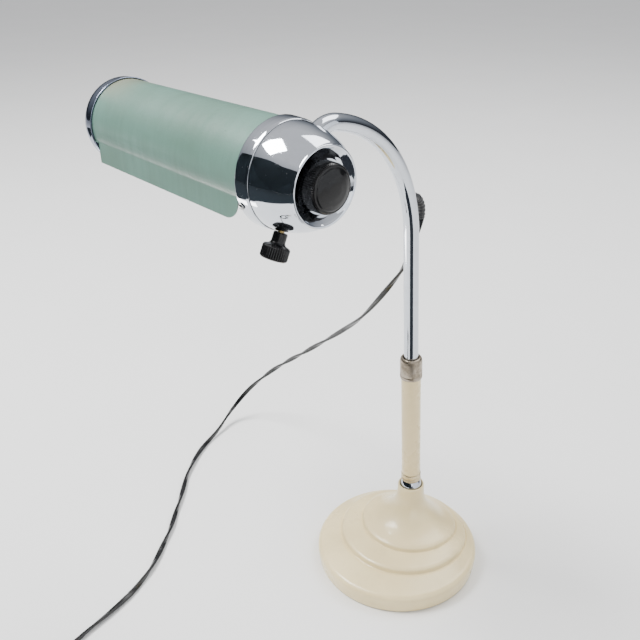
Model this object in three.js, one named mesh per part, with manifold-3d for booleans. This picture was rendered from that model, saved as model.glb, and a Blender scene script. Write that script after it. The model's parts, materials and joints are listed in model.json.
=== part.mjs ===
// Desk lamp: an eccentric stepped base, a ball joint, an enamelled stem with a chrome arm turning in it,
// a chrome end housing with two black knobs, and a half-tube shade that runs crosswise to the arm.
// Millimetres, +Z up. The origin is the centre of the round base on the table; the lamp faces -Y.

import * as THREE from 'three';
import { mergeVertices } from 'three/addons/utils/BufferGeometryUtils.js';
import Module from 'manifold-3d';

const wasm = await Module();
wasm.setup();

// ---- driving dimensions ----
const GAP = 0.3;                       // clearance kept between touching pieces
const DEG = Math.PI / 180;

const NECK_Y = 19.6;                   // the neck stands behind the base's centre
const BALL_Z = 73.7;
const BALL_R = 10.2;
const NECK_BORE_R = 10.6;
const FELT_R = 72.4;
const FELT_T = 1.8;
const WEIGHT_R = 66;
const WEIGHT_T = 9.3;

const STEM_LEAN_FRONT = 2.86 * DEG;    // rest lean of the stem, towards the front
const STEM_LEAN_SIDE = -0.46 * DEG;
const STEM_R = 8.75;
const STEM_BORE_R = 7.9;
const STEM_FROM = 16.6;                // distances along the stem are measured from the ball's centre
const STEM_TO = 140;
const COLLAR_R = 9.25;
const FERRULE_R = 9.9;
const FERRULE_FROM = 124.4;
const FERRULE_TO = 145.4;

const ARM_YAW = 2.06 * DEG;            // rest turn of the arm about the stem's axis
const ARM_R = 6.35;                    // 1/2 inch tube
const ARM_BORE_R = 5.2;
const ARM_FROM = 60;
const ARM_STRAIGHT_TO = 262.4;
const ARM_BEND_R = 114.75;
const ARM_BEND = 76 * DEG;

const SHADE_ORIGIN = new THREE.Vector3(-20.3, -118.2, 411.9);  // centre of the band's shade-side edge
const SHADE_YAW = -4.49 * DEG;         // rest turn of the shade's axis from the X axis
const BAND_R = 38.6;
const BAND_LEN = 12.6;
const HOUSING_FROM = 13.2;             // distances along the housing are measured from SHADE_ORIGIN
const HOUSING_TO = 46;
const HOUSING_R = 37.2;
const HOUSING_END_R = 27.6;
const HOUSING_WALL = 0.9;
const DISH_DEPTH = 8;                  // the housing's end is dished in around the knob
const SHADE_NEAR_R = 36.6;
const SHADE_FAR_R = 34.8;
const SHADE_T = 0.8;
const SHADE_INSIDE_BAND = 5.8;
const SHADE_LEN = 203;
const SHADE_BACK_ANGLE = -100;         // degrees from the top, positive towards the front
const SHADE_CREASE_ANGLE = 106;
const FLAP_DROP = 17;
const FLAP_FROM = -1.6;
const FLAP_TO = -191.5;
const FLAP_CORNER_R = 15;
const CAP_FROM = -197;
const CAP_LIP = 7;
const CAP_DOME = 15;
const CAP_R = 35.9;

const KNOB_R = 17;
const KNOB_FROM = 38.7;
const KNOB_TO = 52.3;
const KNOB_DOME = 2.6;
const ROD_R = 3;
const SWITCH_S = 18;                   // place of the switch along the housing
const SWITCH_TILT = 25 * DEG;          // the switch knob points down and to the front
const SWITCH_LEN = 20.2;

const CORD_R = 2.5;                    // flat twin flex, 5 mm wide
const CORD_SIDES = 8;
const RELIEF_R = 3.4;
const END_GAP = 1.2;                   // gap between one length of flex and the next

// ---- materials ----
const finish = (color, roughness, metalness) =>
  new THREE.MeshStandardMaterial({ color, roughness, metalness });
const CREAM = { color: 0xe6dcbc, roughness: 0.35, metalness: 0 };
const CHROME = { color: 0xd5d8dd, roughness: 0.08, metalness: 1 };
const MINT = { color: 0x8cab9a, roughness: 0.4, metalness: 0 };
const BAKELITE = { color: 0x0c0c0d, roughness: 0.25, metalness: 0 };
const WORN = { color: 0x8f8474, roughness: 0.35, metalness: 1 };
const BRASS = { color: 0xb08d4c, roughness: 0.35, metalness: 1 };
const STEEL = { color: 0x9a9c9e, roughness: 0.4, metalness: 1 };
const IRON = { color: 0x3b3b3c, roughness: 0.8, metalness: 0.6 };
const FELT = { color: 0x3a4a3c, roughness: 0.95, metalness: 0 };
const FIBRE = { color: 0x6b3a2a, roughness: 0.7, metalness: 0 };
const PORCELAIN = { color: 0xece8df, roughness: 0.3, metalness: 0 };
const GLASS = { color: 0xf6f4ee, roughness: 0.3, metalness: 0 };
const FLEX = { color: 0x14110f, roughness: 0.3, metalness: 0 };

// ---- helpers ----
const v3 = (x, y, z) => new THREE.Vector3(x, y, z);

// Signed volume of a closed triangle mesh.
function volume(geometry) {
  const p = geometry.attributes.position;
  const index = geometry.index;
  const corner = [v3(0, 0, 0), v3(0, 0, 0), v3(0, 0, 0)];
  let sum = 0;
  for (let i = 0; i < index.count; i += 3) {
    corner.forEach((c, k) => c.fromBufferAttribute(p, index.getX(i + k)));
    sum += corner[0].dot(corner[1].clone().cross(corner[2])) / 6;
  }
  return sum;
}

// Keeps positions only, merges shared vertices, drops flat triangles and points the faces out.
function closed(geometry) {
  const bare = geometry.clone();
  bare.deleteAttribute('normal');
  bare.deleteAttribute('uv');
  const merged = mergeVertices(bare, 1e-4);
  const old = merged.index.array;
  const kept = [];
  for (let i = 0; i < old.length; i += 3) {
    const [a, b, c] = [old[i], old[i + 1], old[i + 2]];
    if (a !== b && b !== c && a !== c) kept.push(a, b, c);
  }
  merged.setIndex(kept);
  if (volume(merged) < 0) {
    const flipped = [];
    for (let i = 0; i < kept.length; i += 3) flipped.push(kept[i], kept[i + 2], kept[i + 1]);
    merged.setIndex(flipped);
  }
  merged.computeVertexNormals();
  return merged;
}

function toSolid(geometry) {
  const g = closed(geometry);
  return new wasm.Manifold(new wasm.Mesh({
    numProp: 3,
    vertProperties: new Float32Array(g.attributes.position.array),
    triVerts: new Uint32Array(g.index.array),
  }));
}

function fromSolid(solid) {
  const mesh = solid.getMesh();
  const g = new THREE.BufferGeometry();
  g.setAttribute('position', new THREE.BufferAttribute(new Float32Array(mesh.vertProperties), 3));
  g.setIndex(Array.from(mesh.triVerts));
  g.computeVertexNormals();
  return g;
}

function cut(geometry, ...tools) {
  let solid = toSolid(geometry);
  tools.forEach((tool) => { solid = solid.subtract(toSolid(tool)); });
  return fromSolid(solid);
}

function join(geometry, ...extras) {
  let solid = toSolid(geometry);
  extras.forEach((extra) => { solid = solid.add(toSolid(extra)); });
  return fromSolid(solid);
}

// Turned piece about Z. The profile is a list of [radius, z]; ends off the axis are joined to each other.
function turned(profile, segments = 32) {
  const points = profile.map(([r, z]) => new THREE.Vector2(r, z));
  const first = points[0];
  const last = points[points.length - 1];
  if (first.x > 0 || last.x > 0) points.push(first.clone());
  const g = new THREE.LatheGeometry(points, segments);
  g.rotateX(Math.PI / 2);
  return closed(g);
}

// Points of a circular arc in the profile plane, angles in degrees from the radius axis.
function arc(cr, cz, r, from, to, steps) {
  return Array.from({ length: steps + 1 }, (_, i) => {
    const a = (from + (to - from) * i / steps) * DEG;
    return [cr + r * Math.cos(a), cz + r * Math.sin(a)];
  });
}

function rod(radius, from, to, segments = 16) {
  return turned([[0, from], [radius, from], [radius, to], [0, to]], segments);
}

function ring(inner, outer, from, to, segments = 32) {
  return turned([[inner, from], [outer, from], [outer, to], [inner, to]], segments);
}

function hexNut(across, bore, from, to) {
  const shape = new THREE.Shape();
  for (let i = 0; i < 6; i += 1) {
    const a = i * 60 * DEG;
    const r = across / Math.sqrt(3);
    if (i === 0) shape.moveTo(r * Math.cos(a), r * Math.sin(a));
    else shape.lineTo(r * Math.cos(a), r * Math.sin(a));
  }
  shape.closePath();
  const hole = new THREE.Path();
  hole.absarc(0, 0, bore, 0, Math.PI * 2, true);
  shape.holes.push(hole);
  const g = new THREE.ExtrudeGeometry(shape, { depth: to - from, bevelEnabled: false, curveSegments: 8 });
  g.translate(0, 0, from);
  return closed(g);
}

// Round bar or pipe carried along a curve.
function pipe(curve, radius, steps, sides, bore = 0) {
  const polygon = (r) => Array.from({ length: sides }, (_, i) => {
    const a = i * 2 * Math.PI / sides;
    return new THREE.Vector2(r * Math.cos(a), r * Math.sin(a));
  });
  const shape = new THREE.Shape(polygon(radius));
  if (bore > 0) shape.holes.push(new THREE.Path(polygon(bore).reverse()));
  return closed(new THREE.ExtrudeGeometry(shape, { steps, extrudePath: curve, bevelEnabled: false }));
}

// Skin through a list of closed rings with the same number of points; the list closes on itself.
function ringSkin(rings) {
  const n = rings[0].length;
  const positions = rings.flat().flatMap((p) => [p.x, p.y, p.z]);
  const index = [];
  for (let i = 0; i < rings.length; i += 1) {
    const next = (i + 1) % rings.length;
    for (let j = 0; j < n; j += 1) {
      const k = (j + 1) % n;
      index.push(i * n + j, next * n + j, next * n + k, i * n + j, next * n + k, i * n + k);
    }
  }
  const g = new THREE.BufferGeometry();
  g.setAttribute('position', new THREE.Float32BufferAttribute(positions, 3));
  g.setIndex(index);
  return closed(g);
}

// The piece turned from +Z to a direction and moved to a point.
function aimed(geometry, origin, direction) {
  const q = new THREE.Quaternion().setFromUnitVectors(v3(0, 0, 1), direction.clone().normalize());
  const g = geometry.clone();
  g.applyQuaternion(q);
  g.translate(origin.x, origin.y, origin.z);
  return g;
}

function piece(name, geometry, look) {
  const mesh = new THREE.Mesh(geometry, finish(look.color, look.roughness, look.metalness));
  mesh.name = name;
  return mesh;
}

// ---- frames ----
const lamp = new THREE.Group();

const stemFrame = new THREE.Group();
stemFrame.position.set(0, NECK_Y, BALL_Z);
stemFrame.rotation.set(STEM_LEAN_FRONT, STEM_LEAN_SIDE, 0);
lamp.add(stemFrame);

const armFrame = new THREE.Group();
armFrame.rotation.z = ARM_YAW;
stemFrame.add(armFrame);

// In the shade's frame x points to the back, y up and z along the axis towards the end knob.
const headFrame = new THREE.Group();
const headAxis = v3(Math.cos(SHADE_YAW), Math.sin(SHADE_YAW), 0);
const headBack = v3(-Math.sin(SHADE_YAW), Math.cos(SHADE_YAW), 0);
headFrame.position.copy(SHADE_ORIGIN);
headFrame.quaternion.setFromRotationMatrix(
  new THREE.Matrix4().makeBasis(headBack, v3(0, 0, 1), headAxis));
lamp.add(headFrame);
lamp.updateMatrixWorld(true);

// ---- base ----
// Each row is [centre y, radius, z, sink] of a circle. The steps' centres move back to the neck as they rise,
// and each circle sinks towards its back, so the steps run out there.
const BASE_OUTSIDE = [
  [0, 75, 0, 0], [0, 75.6, 1.2, 0], [0, 76.7, 10.5, 0], [0, 76.4, 15, 0], [0.3, 75, 17, 0.2],
  [0.8, 72.4, 18, 0.5], [10, 61.9, 23.3, 3.6], [10.5, 60.8, 23.2, 3.8], [10.8, 59.9, 26.2, 4.8],
  [10.9, 59, 27.4, 5.2], [11.2, 57.6, 28, 5.4], [18.7, 46.6, 30.2, 6], [19.1, 45.6, 30.4, 6.2],
  [19.3, 45.2, 32.6, 6.6], [19.5, 44.2, 33.9, 6.8], [NECK_Y, 42.6, 34.7, 6.8], [NECK_Y, 34, 38.2, 5],
  [NECK_Y, 26, 43, 2.8], [NECK_Y, 19.5, 49, 1], [NECK_Y, 15.3, 55.5, 0.2], [NECK_Y, 13.3, 62, 0],
  [NECK_Y, 12.7, 69, 0], [NECK_Y, 12.6, 73, 0], [NECK_Y, 12, 75.2, 0], [NECK_Y, 11.2, 75.9, 0],
];
const BASE_INSIDE = [
  [NECK_Y, NECK_BORE_R, 75.6, 0], [NECK_Y, NECK_BORE_R, 42, 0], [NECK_Y, 14, 40.5, 0.8],
  [NECK_Y, 24, 37.6, 3], [NECK_Y, 32, 34.9, 5.2], [19.4, 41.4, 32, 7], [18.5, 44, 28, 6.4],
  [11.5, 55.5, 25.4, 5.8], [11, 57.6, 22, 4.8], [1.5, 69.5, 15.8, 1.6], [0, 73.2, 12.5, 0.4],
  [0, 73.9, 10, 0], [0, 73, 0, 0],
];
const BASE_SEGMENTS = 48;
const SCREW_SPOTS = [[-45, -12, 27], [45, -12, 27], [0, 56, 27.5]];  // x, y, top of the lug

function baseCircle([cy, r, z, sink]) {
  return Array.from({ length: BASE_SEGMENTS }, (_, i) => {
    const a = i * 2 * Math.PI / BASE_SEGMENTS;
    const back = THREE.MathUtils.smoothstep(Math.sin(a), -0.2, 1);
    return v3(r * Math.cos(a), cy + r * Math.sin(a), z - sink * back);
  });
}

function baseShell() {
  const skin = ringSkin([...BASE_OUTSIDE, ...BASE_INSIDE].map(baseCircle));
  const lugs = SCREW_SPOTS.map(([x, y, top]) => rod(5, 12, top, 12).translate(x, y, 0));
  const holes = SCREW_SPOTS.map(([x, y]) => rod(2.2, 11, 21, 8).translate(x, y, 0));
  return cut(join(skin, ...lugs), ...holes);
}

function baseWeight() {
  const floor = FELT_T + GAP;
  const slug = rod(WEIGHT_R, floor, floor + WEIGHT_T, 40);
  const tools = [rod(13, 0, 20, 24).translate(0, NECK_Y, 0)];
  SCREW_SPOTS.forEach(([x, y]) => {
    tools.push(rod(2.3, 0, 20, 10).translate(x, y, 0));
    tools.push(rod(4.6, 0, floor + 3, 12).translate(x, y, 0));
  });
  return cut(slug, ...tools);
}

function weightScrew() {
  const head = FELT_T + GAP + 0.3;
  return turned([[0, head], [4, head], [4, head + 2.2], [1.9, head + 2.2], [1.9, 20], [0, 20]], 12);
}

function pressureSpring() {
  class Helix extends THREE.Curve {
    getPoint(t, target = v3(0, 0, 0)) {
      const a = t * 3.5 * 2 * Math.PI;
      return target.set(7.2 * Math.cos(a), 7.2 * Math.sin(a), 48.6 + 8 * t);
    }
  }
  return pipe(new Helix(), 0.9, 56, 6);
}

const onNeck = (g) => g.translate(0, NECK_Y, 0);
const seatCup = turned([[3, 58.4], [10.1, 58.4], [10.1, 66.2], [8.6, 67.4], [6, 64.7], [3, 63.2]]);
const tensionPlug = ring(3, 10.2, 42.6, 47.2, 24);

lamp.add(
  piece('base_shell', baseShell(), CREAM),
  piece('base_weight', baseWeight(), IRON),
  piece('felt_pad', rod(FELT_R, 0, FELT_T, 48), FELT),
  piece('seat_cup', onNeck(seatCup), BRASS),
  piece('pressure_spring', onNeck(pressureSpring()), STEEL),
  piece('tension_plug', onNeck(tensionPlug), BRASS),
);
SCREW_SPOTS.forEach(([x, y], i) => {
  lamp.add(piece(`weight_screw_${i + 1}`, weightScrew().translate(x, y, 0), STEEL));
});

// ---- stem, measured along its own axis from the ball's centre ----
const SHANK_R = 4;
const SHANK_TO = 24;
const shankAngle = Math.acos(SHANK_R / BALL_R) / DEG;
const ballStud = turned([...arc(0, 0, BALL_R, -90, shankAngle, 14), [SHANK_R, SHANK_TO], [0, SHANK_TO]]);
const collar = turned([
  [4.3, 9.9], [7.2, 7.7], [8.6, 8.2], [COLLAR_R, 9.6], [COLLAR_R, 15.2], [8.9, 16.3], [4.3, 16.3],
]);
const stemPlug = turned([[4.3, STEM_FROM + 0.2], [7.6, STEM_FROM + 0.2], [7.6, 36], [0, 36],
  [0, SHANK_TO + 0.5], [4.3, SHANK_TO + 0.5], [4.3, STEM_FROM + 0.2]]);
const stemTube = ring(STEM_BORE_R, STEM_R, STEM_FROM, STEM_TO);
const ferrule = turned([
  [9.05, FERRULE_FROM], [9.6, FERRULE_FROM], [FERRULE_R, 126], [FERRULE_R, 141], [9.4, 144],
  [8.4, 145.2], [7.2, FERRULE_TO], [6.7, 144.6], [7.1, 143.2], [9.05, 141.4],
]);
const frictionSleeve = ring(6.7, 7.6, 72, 138);

stemFrame.add(
  piece('ball_stud', ballStud, CHROME),
  piece('stem_collar', collar, WORN),
  piece('stem_plug', stemPlug, STEEL),
  piece('stem_tube', stemTube, CREAM),
  piece('ferrule', ferrule, WORN),
  piece('friction_sleeve', frictionSleeve, BRASS),
);

// ---- arm ----
// The arm lies in the plane x = 0 of its frame: straight, a round bend, then a short bend into the housing.
const toArm = (s, back, up) => armFrame.worldToLocal(headFrame.localToWorld(v3(back, up, s)));
const bendPoint = (a) => v3(0, -ARM_BEND_R * (1 - Math.cos(a)), ARM_STRAIGHT_TO + ARM_BEND_R * Math.sin(a));
const bendTangent = (a) => v3(0, -Math.sin(a), Math.cos(a));

class Bend extends THREE.Curve {
  constructor(from, to) {
    super();
    this.from = from;
    this.to = to;
  }

  getPoint(t, target = v3(0, 0, 0)) {
    return target.copy(bendPoint(this.from + (this.to - this.from) * t));
  }
}

const armEnd = toArm(20.5, 4, 17);
const armEntry = bendPoint(ARM_BEND);
const entryControl = armEntry.clone().addScaledVector(bendTangent(ARM_BEND), 17);
const endBend = new THREE.QuadraticBezierCurve3(armEntry, entryControl, armEnd);

const armPath = new THREE.CurvePath();
armPath.add(new THREE.LineCurve3(v3(0, 0, ARM_FROM), v3(0, 0, ARM_STRAIGHT_TO)));
armPath.add(new Bend(0, ARM_BEND));
armPath.add(endBend);

// The flex leaves through the back of the arm, just above the start of the bend.
const EXIT_BEND = 16 * DEG;
const exitCentre = bendPoint(EXIT_BEND);
const exitPoint = armFrame.localToWorld(exitCentre.clone().add(v3(0, ARM_R + 3 * GAP, 0.5)));
const exitHole = aimed(rod(RELIEF_R + 1, 2, 12, 12), exitCentre, v3(0, 1, 0));
const armTube = cut(pipe(armPath, ARM_R, 52, 16, ARM_BORE_R), exitHole);

const leadPath = new THREE.CurvePath();
leadPath.add(new Bend(EXIT_BEND, ARM_BEND));
leadPath.add(new THREE.QuadraticBezierCurve3(armEntry, entryControl, toArm(20.5, 3.4, 11)));
const stopRing = ring(ARM_R + GAP, 7.5, 64, 68);
const locknutAxis = endBend.getTangent(1);
const armEnvelope = pipe(armPath, ARM_R + GAP, 52, 16);
const locknut = cut(aimed(hexNut(15, ARM_R, -7, -2), armEnd, locknutAxis), armEnvelope);

armFrame.add(
  piece('arm_tube', armTube, CHROME),
  piece('arm_stop_ring', stopRing, STEEL),
  piece('lamp_lead', pipe(leadPath, 1.6, 26, 8), FLEX),
  piece('arm_locknut', locknut, BRASS),
);

// ---- housing, turned about the shade's axis ----
const armHole = aimed(rod(ARM_R + 1.2, -16, 14, 16), endBend.getPoint(0.5), endBend.getTangent(0.5));
armHole.applyMatrix4(armFrame.matrixWorld);
armHole.applyMatrix4(headFrame.matrixWorld.clone().invert());

function housingRadius(q) {
  return HOUSING_R - (HOUSING_R - HOUSING_END_R) * q ** 1.15;
}

function housingCup() {
  const steps = 8;
  const outside = [];
  const inside = [];
  const length = HOUSING_TO - 1.5 - HOUSING_FROM;
  for (let i = 0; i <= steps; i += 1) {
    const q = i / steps;
    const s = HOUSING_FROM + length * q;
    outside.push([housingRadius(q), s]);
    inside.unshift([housingRadius(q) - HOUSING_WALL, s]);
  }
  const floor = HOUSING_TO - DISH_DEPTH;
  const dish = [[25.4, HOUSING_TO - 0.6], [23.4, 42.6], [21.4, 39.8], [19.4, floor], [ROD_R + 0.4, floor]];
  const back = [[ROD_R + 0.4, floor - 1], [18.6, floor - 1], [20.6, 39], [22.6, 41.6], [24.2, 43.8]];
  const profile = [...outside, [27.4, HOUSING_TO - 0.4], [26.6, HOUSING_TO], ...dish, ...back, ...inside];
  return turned(profile, 48);
}

const switchAxis = v3(-Math.sin(SWITCH_TILT), -Math.cos(SWITCH_TILT), 0);
const switchAt = (distance) => switchAxis.clone().multiplyScalar(distance).add(v3(0, 0, SWITCH_S));
const SWITCH_SURFACE = 36.5;           // distance of the housing's skin from the axis at the switch
const shaftHole = aimed(rod(2.8, 20, 45, 12), switchAt(0), switchAxis);

const swivelPlate = ring(4, 36.4, 9.4, 11.2, 40);
const socket = turned([[0, 9], [17, 9], [17, -20], [13.3, -20], [13.3, 6], [0, 6]]);
const bulbCap = turned([[0, 5.2], [8, 5.2], [12.6, 1], [12.6, -21], [0, -21]], 24);
const BULB_R = 14.5;
const BULB_TO = -150;
const bulbGlass = turned([
  [12, -21.3], [BULB_R, -27], ...arc(0, BULB_TO, BULB_R, 0, -90, 6),
  ...arc(0, BULB_TO, BULB_R - 0.8, -90, 0, 6), [BULB_R - 0.8, -27.4], [11.2, -21.3],
], 24);
const switchBody = cut(
  new THREE.BoxGeometry(9.5, 9.5, 14).translate(0, 0, 24.2),
  rod(2.6, 28, 40, 10),
);
const switchShaft = rod(2.2, 29, SWITCH_SURFACE + 7, 10);
const switchKnob = turned([
  [2.6, SWITCH_SURFACE + 0.9], [4.4, SWITCH_SURFACE + 0.9], [5, SWITCH_SURFACE + 1.6],
  [5, SWITCH_SURFACE + 7.6], [5.8, SWITCH_SURFACE + 9.2], [8.8, SWITCH_SURFACE + 10.2],
  [9.7, SWITCH_SURFACE + 11.4], [9.7, SWITCH_SURFACE + SWITCH_LEN - 1.6],
  [8.8, SWITCH_SURFACE + SWITCH_LEN - 0.3], [0, SWITCH_SURFACE + SWITCH_LEN],
  [0, SWITCH_SURFACE + 7.5], [2.6, SWITCH_SURFACE + 7.5], [2.6, SWITCH_SURFACE + 0.9],
], 28);
const onSwitch = (g) => aimed(g, switchAt(0), switchAxis);

headFrame.add(
  piece('housing_cup', cut(housingCup(), armHole, shaftHole), CHROME),
  piece('swivel_plate', swivelPlate, STEEL),
  piece('lamp_socket', socket, PORCELAIN),
  piece('bulb_cap', bulbCap, BRASS),
  piece('bulb_glass', bulbGlass, GLASS),
  piece('switch_body', onSwitch(switchBody), BAKELITE),
  piece('switch_shaft', onSwitch(switchShaft), BRASS),
  piece('switch_knob', onSwitch(switchKnob), BAKELITE),
);

// ---- end knob ----
const endKnob = turned([
  [ROD_R + 0.35, KNOB_FROM], [KNOB_R - 0.8, KNOB_FROM], [KNOB_R, KNOB_FROM + 0.8],
  [KNOB_R, KNOB_TO - 2.4], [KNOB_R - 0.9, KNOB_TO - 0.6], [KNOB_R - 2.6, KNOB_TO],
  [KNOB_R * 0.6, KNOB_TO + KNOB_DOME * 0.6], [KNOB_R * 0.3, KNOB_TO + KNOB_DOME * 0.9],
  [0, KNOB_TO + KNOB_DOME], [0, 46], [ROD_R + 0.35, 46], [ROD_R + 0.35, KNOB_FROM],
], 40);
headFrame.add(
  piece('end_knob', endKnob, BAKELITE),
  piece('clamp_rod', rod(ROD_R, 11.8, 45.6, 14), STEEL),
);

// ---- shade ----
const radial = (degrees) => v3(-Math.sin(degrees * DEG), Math.cos(degrees * DEG), 0);
const SCREW_S = 3;
const BAND_SCREW_ANGLES = [112, -92];

function bandScrewTool(degrees) {
  return aimed(rod(1.7, 30, 45, 8), v3(0, 0, SCREW_S), radial(degrees));
}

function bandScrew(degrees) {
  const seat = BAND_R + GAP;
  const profile = [[0, 33.4], [1.35, 33.4], [1.35, seat], [2.7, seat], [2.6, seat + 0.8], [1.6, seat + 1.5],
    [0, seat + 1.6]];
  return aimed(turned(profile, 12), v3(0, 0, SCREW_S), radial(degrees));
}

const shadeRadius = (s) => SHADE_NEAR_R + (SHADE_FAR_R - SHADE_NEAR_R) * (SHADE_INSIDE_BAND - s) / SHADE_LEN;

// Section of the sheet at a station: an arc from the back edge over the top to the crease, then the flap.
function shadeSection(s) {
  const r = shadeRadius(s);
  const steps = 26;
  const outer = [];
  const inner = [];
  for (let i = 0; i <= steps; i += 1) {
    const a = SHADE_BACK_ANGLE + (SHADE_CREASE_ANGLE - SHADE_BACK_ANGLE) * i / steps;
    outer.push(radial(a).multiplyScalar(r).setZ(s));
    inner.unshift(radial(a).multiplyScalar(r - SHADE_T).setZ(s));
  }
  const crease = outer[steps];
  outer.push(v3(crease.x - 0.5, crease.y - FLAP_DROP, s));
  inner.unshift(v3(crease.x - 0.5 + SHADE_T, crease.y - FLAP_DROP, s));
  return [...outer, ...inner];
}

function shadeSheet() {
  const stations = 6;
  const rows = Array.from({ length: stations + 1 }, (_, i) =>
    shadeSection(SHADE_INSIDE_BAND - SHADE_LEN * i / stations));
  const n = rows[0].length;
  const positions = rows.flat().flatMap((p) => [p.x, p.y, p.z]);
  const index = [];
  for (let i = 0; i < stations; i += 1) {
    for (let j = 0; j < n; j += 1) {
      const k = (j + 1) % n;
      index.push(i * n + j, (i + 1) * n + j, (i + 1) * n + k, i * n + j, (i + 1) * n + k, i * n + k);
    }
  }
  for (let j = 0; j < n / 2 - 1; j += 1) {
    const k = n - 1 - j;
    index.push(j, j + 1, k, j + 1, k - 1, k);
    const e = stations * n;
    index.push(e + j, e + k, e + j + 1, e + j + 1, e + k, e + k - 1);
  }
  const g = new THREE.BufferGeometry();
  g.setAttribute('position', new THREE.Float32BufferAttribute(positions, 3));
  g.setIndex(index);
  return g;
}

// Everything of the flap's plane that lies outside the flap's outline, with its rounded near corner.
function flapTrim(creaseY) {
  const low = creaseY - FLAP_DROP;
  const below = low - 5;
  const near = new THREE.Shape();
  near.moveTo(FLAP_FROM, creaseY - 0.4);
  near.lineTo(FLAP_FROM, low + FLAP_CORNER_R);
  near.absarc(FLAP_FROM - FLAP_CORNER_R, low + FLAP_CORNER_R, FLAP_CORNER_R, 0, -Math.PI / 2, true);
  near.lineTo(FLAP_FROM - FLAP_CORNER_R, below);
  near.lineTo(SHADE_INSIDE_BAND + 5, below);
  near.lineTo(SHADE_INSIDE_BAND + 5, creaseY - 0.4);
  near.closePath();
  const far = new THREE.Shape();
  far.moveTo(FLAP_TO, creaseY - 0.4);
  far.lineTo(FLAP_TO, below);
  far.lineTo(-SHADE_LEN - 5, below);
  far.lineTo(-SHADE_LEN - 5, creaseY - 0.4);
  far.closePath();
  return [near, far].map((shape) => {
    const g = new THREE.ExtrudeGeometry(shape, { depth: 20, bevelEnabled: false, curveSegments: 8 });
    g.rotateY(-Math.PI / 2);             // shape x -> z, extrusion -> -x
    g.translate(-25, 0, 0);
    return g;
  });
}

const creaseY = SHADE_FAR_R * Math.cos(SHADE_CREASE_ANGLE * DEG);
const shadeShell = cut(shadeSheet(), ...flapTrim(creaseY - 0.6), ...BAND_SCREW_ANGLES.map(bandScrewTool));

const bandRing = cut(turned([
  [37, 0], [38.2, 0], [BAND_R, 1], [38.5, 6], [38, 10.5], [37.4, BAND_LEN], [36.8, BAND_LEN], [37, 9],
], 48), ...BAND_SCREW_ANGLES.map(bandScrewTool));
const shadeCarrier = ring(20, 36.5, 6.3, 7.6, 40);
const frictionWasher = ring(22, 33, 7.9, 9.1, 32);

function farCap() {
  const dome = CAP_FROM - CAP_LIP;
  const outside = [];
  const inside = [];
  const steps = 7;
  for (let i = 0; i <= steps; i += 1) {
    const a = 90 * DEG * (1 - i / steps);
    outside.push([CAP_R * Math.cos(a), dome - CAP_DOME * Math.sin(a)]);
    inside.unshift([(CAP_R - 0.8) * Math.cos(a), dome - (CAP_DOME - 0.8) * Math.sin(a)]);
  }
  outside[0][0] = 0;
  inside[inside.length - 1][0] = 0;
  return turned([...outside, [CAP_R, CAP_FROM], [CAP_R - 0.7, CAP_FROM], ...inside], 40);
}

headFrame.add(
  piece('band_ring', bandRing, CHROME),
  piece('shade_carrier', shadeCarrier, STEEL),
  piece('friction_washer', frictionWasher, FIBRE),
  piece('shade_shell', shadeShell, MINT),
  piece('far_cap', farCap(), CHROME),
);
BAND_SCREW_ANGLES.forEach((degrees, i) => {
  headFrame.add(piece(`band_screw_${i + 1}`, bandScrew(degrees), STEEL));
});

// ---- flex: out of the arm's back, down behind the stem, over the table, into a coil ----
const RELIEF_ROUTE = [exitPoint, v3(-2.4, 13.6, 363), v3(-2.3, 18.6, 355), v3(-2.9, 20, 345)];
const UPPER_ROUTE = [
  v3(-2.9, 20, 345), v3(-5.6, 20.2, 334), v3(-12, 22.6, 319), v3(-28.4, 31.6, 289), v3(-55.9, 34.2, 250),
  v3(-83, 38.9, 218), v3(-116.3, 51.3, 188), v3(-147.5, 58.5, 161.5),
];
const MAIN_ROUTE = [
  v3(-147.5, 58.5, 161.5), v3(-179.3, 63.7, 135), v3(-245, 69, 80), v3(-282.3, 60.3, 40),
  v3(-292.5, 40.1, 16), v3(-284.6, 10.1, 5), v3(-271.5, -27.2, 2.7), v3(-251.8, -59.9, 2.7),
  v3(-229.1, -86.6, 2.7), v3(-208.2, -111, 2.7), v3(-188.7, -135, 2.7), v3(-172, -158.9, 2.7),
  v3(-158.2, -182.2, 2.7), v3(-148.1, -207.1, 2.7), v3(-142.6, -234.3, 2.7), v3(-139.2, -261.9, 2.7),
  v3(-136.8, -275.1, 2.7), v3(-131.5, -296, 2.7), v3(-130, -312, 2.7),
];
const COIL_CENTRE = v3(-102, -312, 0);
const COIL_R = 28;
const COIL_HALF_WIDTH = 5.2;
const COIL_TOP = 15.6;
const COIL_LEAD = 26;                  // the flex meets the coil as a tangent, this long
const TAIL_ROUTE = [v3(-102, -340, 2.7), v3(-92, -340.6, 2.7), v3(-80, -342, 3.6), v3(-69, -343, 6)];
const PLUG_AT = v3(-68.6, -343.1, 8);
const PLUG_LEN = 26;

const smooth = (points) => new THREE.CatmullRomCurve3(points, false, 'centripetal');

// The part of a curve between two distances from its start.
class Stretch extends THREE.Curve {
  constructor(curve, from, to) {
    super();
    this.curve = curve;
    this.total = curve.getLength();
    this.from = from;
    this.to = this.total - to;
  }

  getPoint(t, target = v3(0, 0, 0)) {
    return target.copy(this.curve.getPointAt((this.from + (this.to - this.from) * t) / this.total));
  }
}

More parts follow.
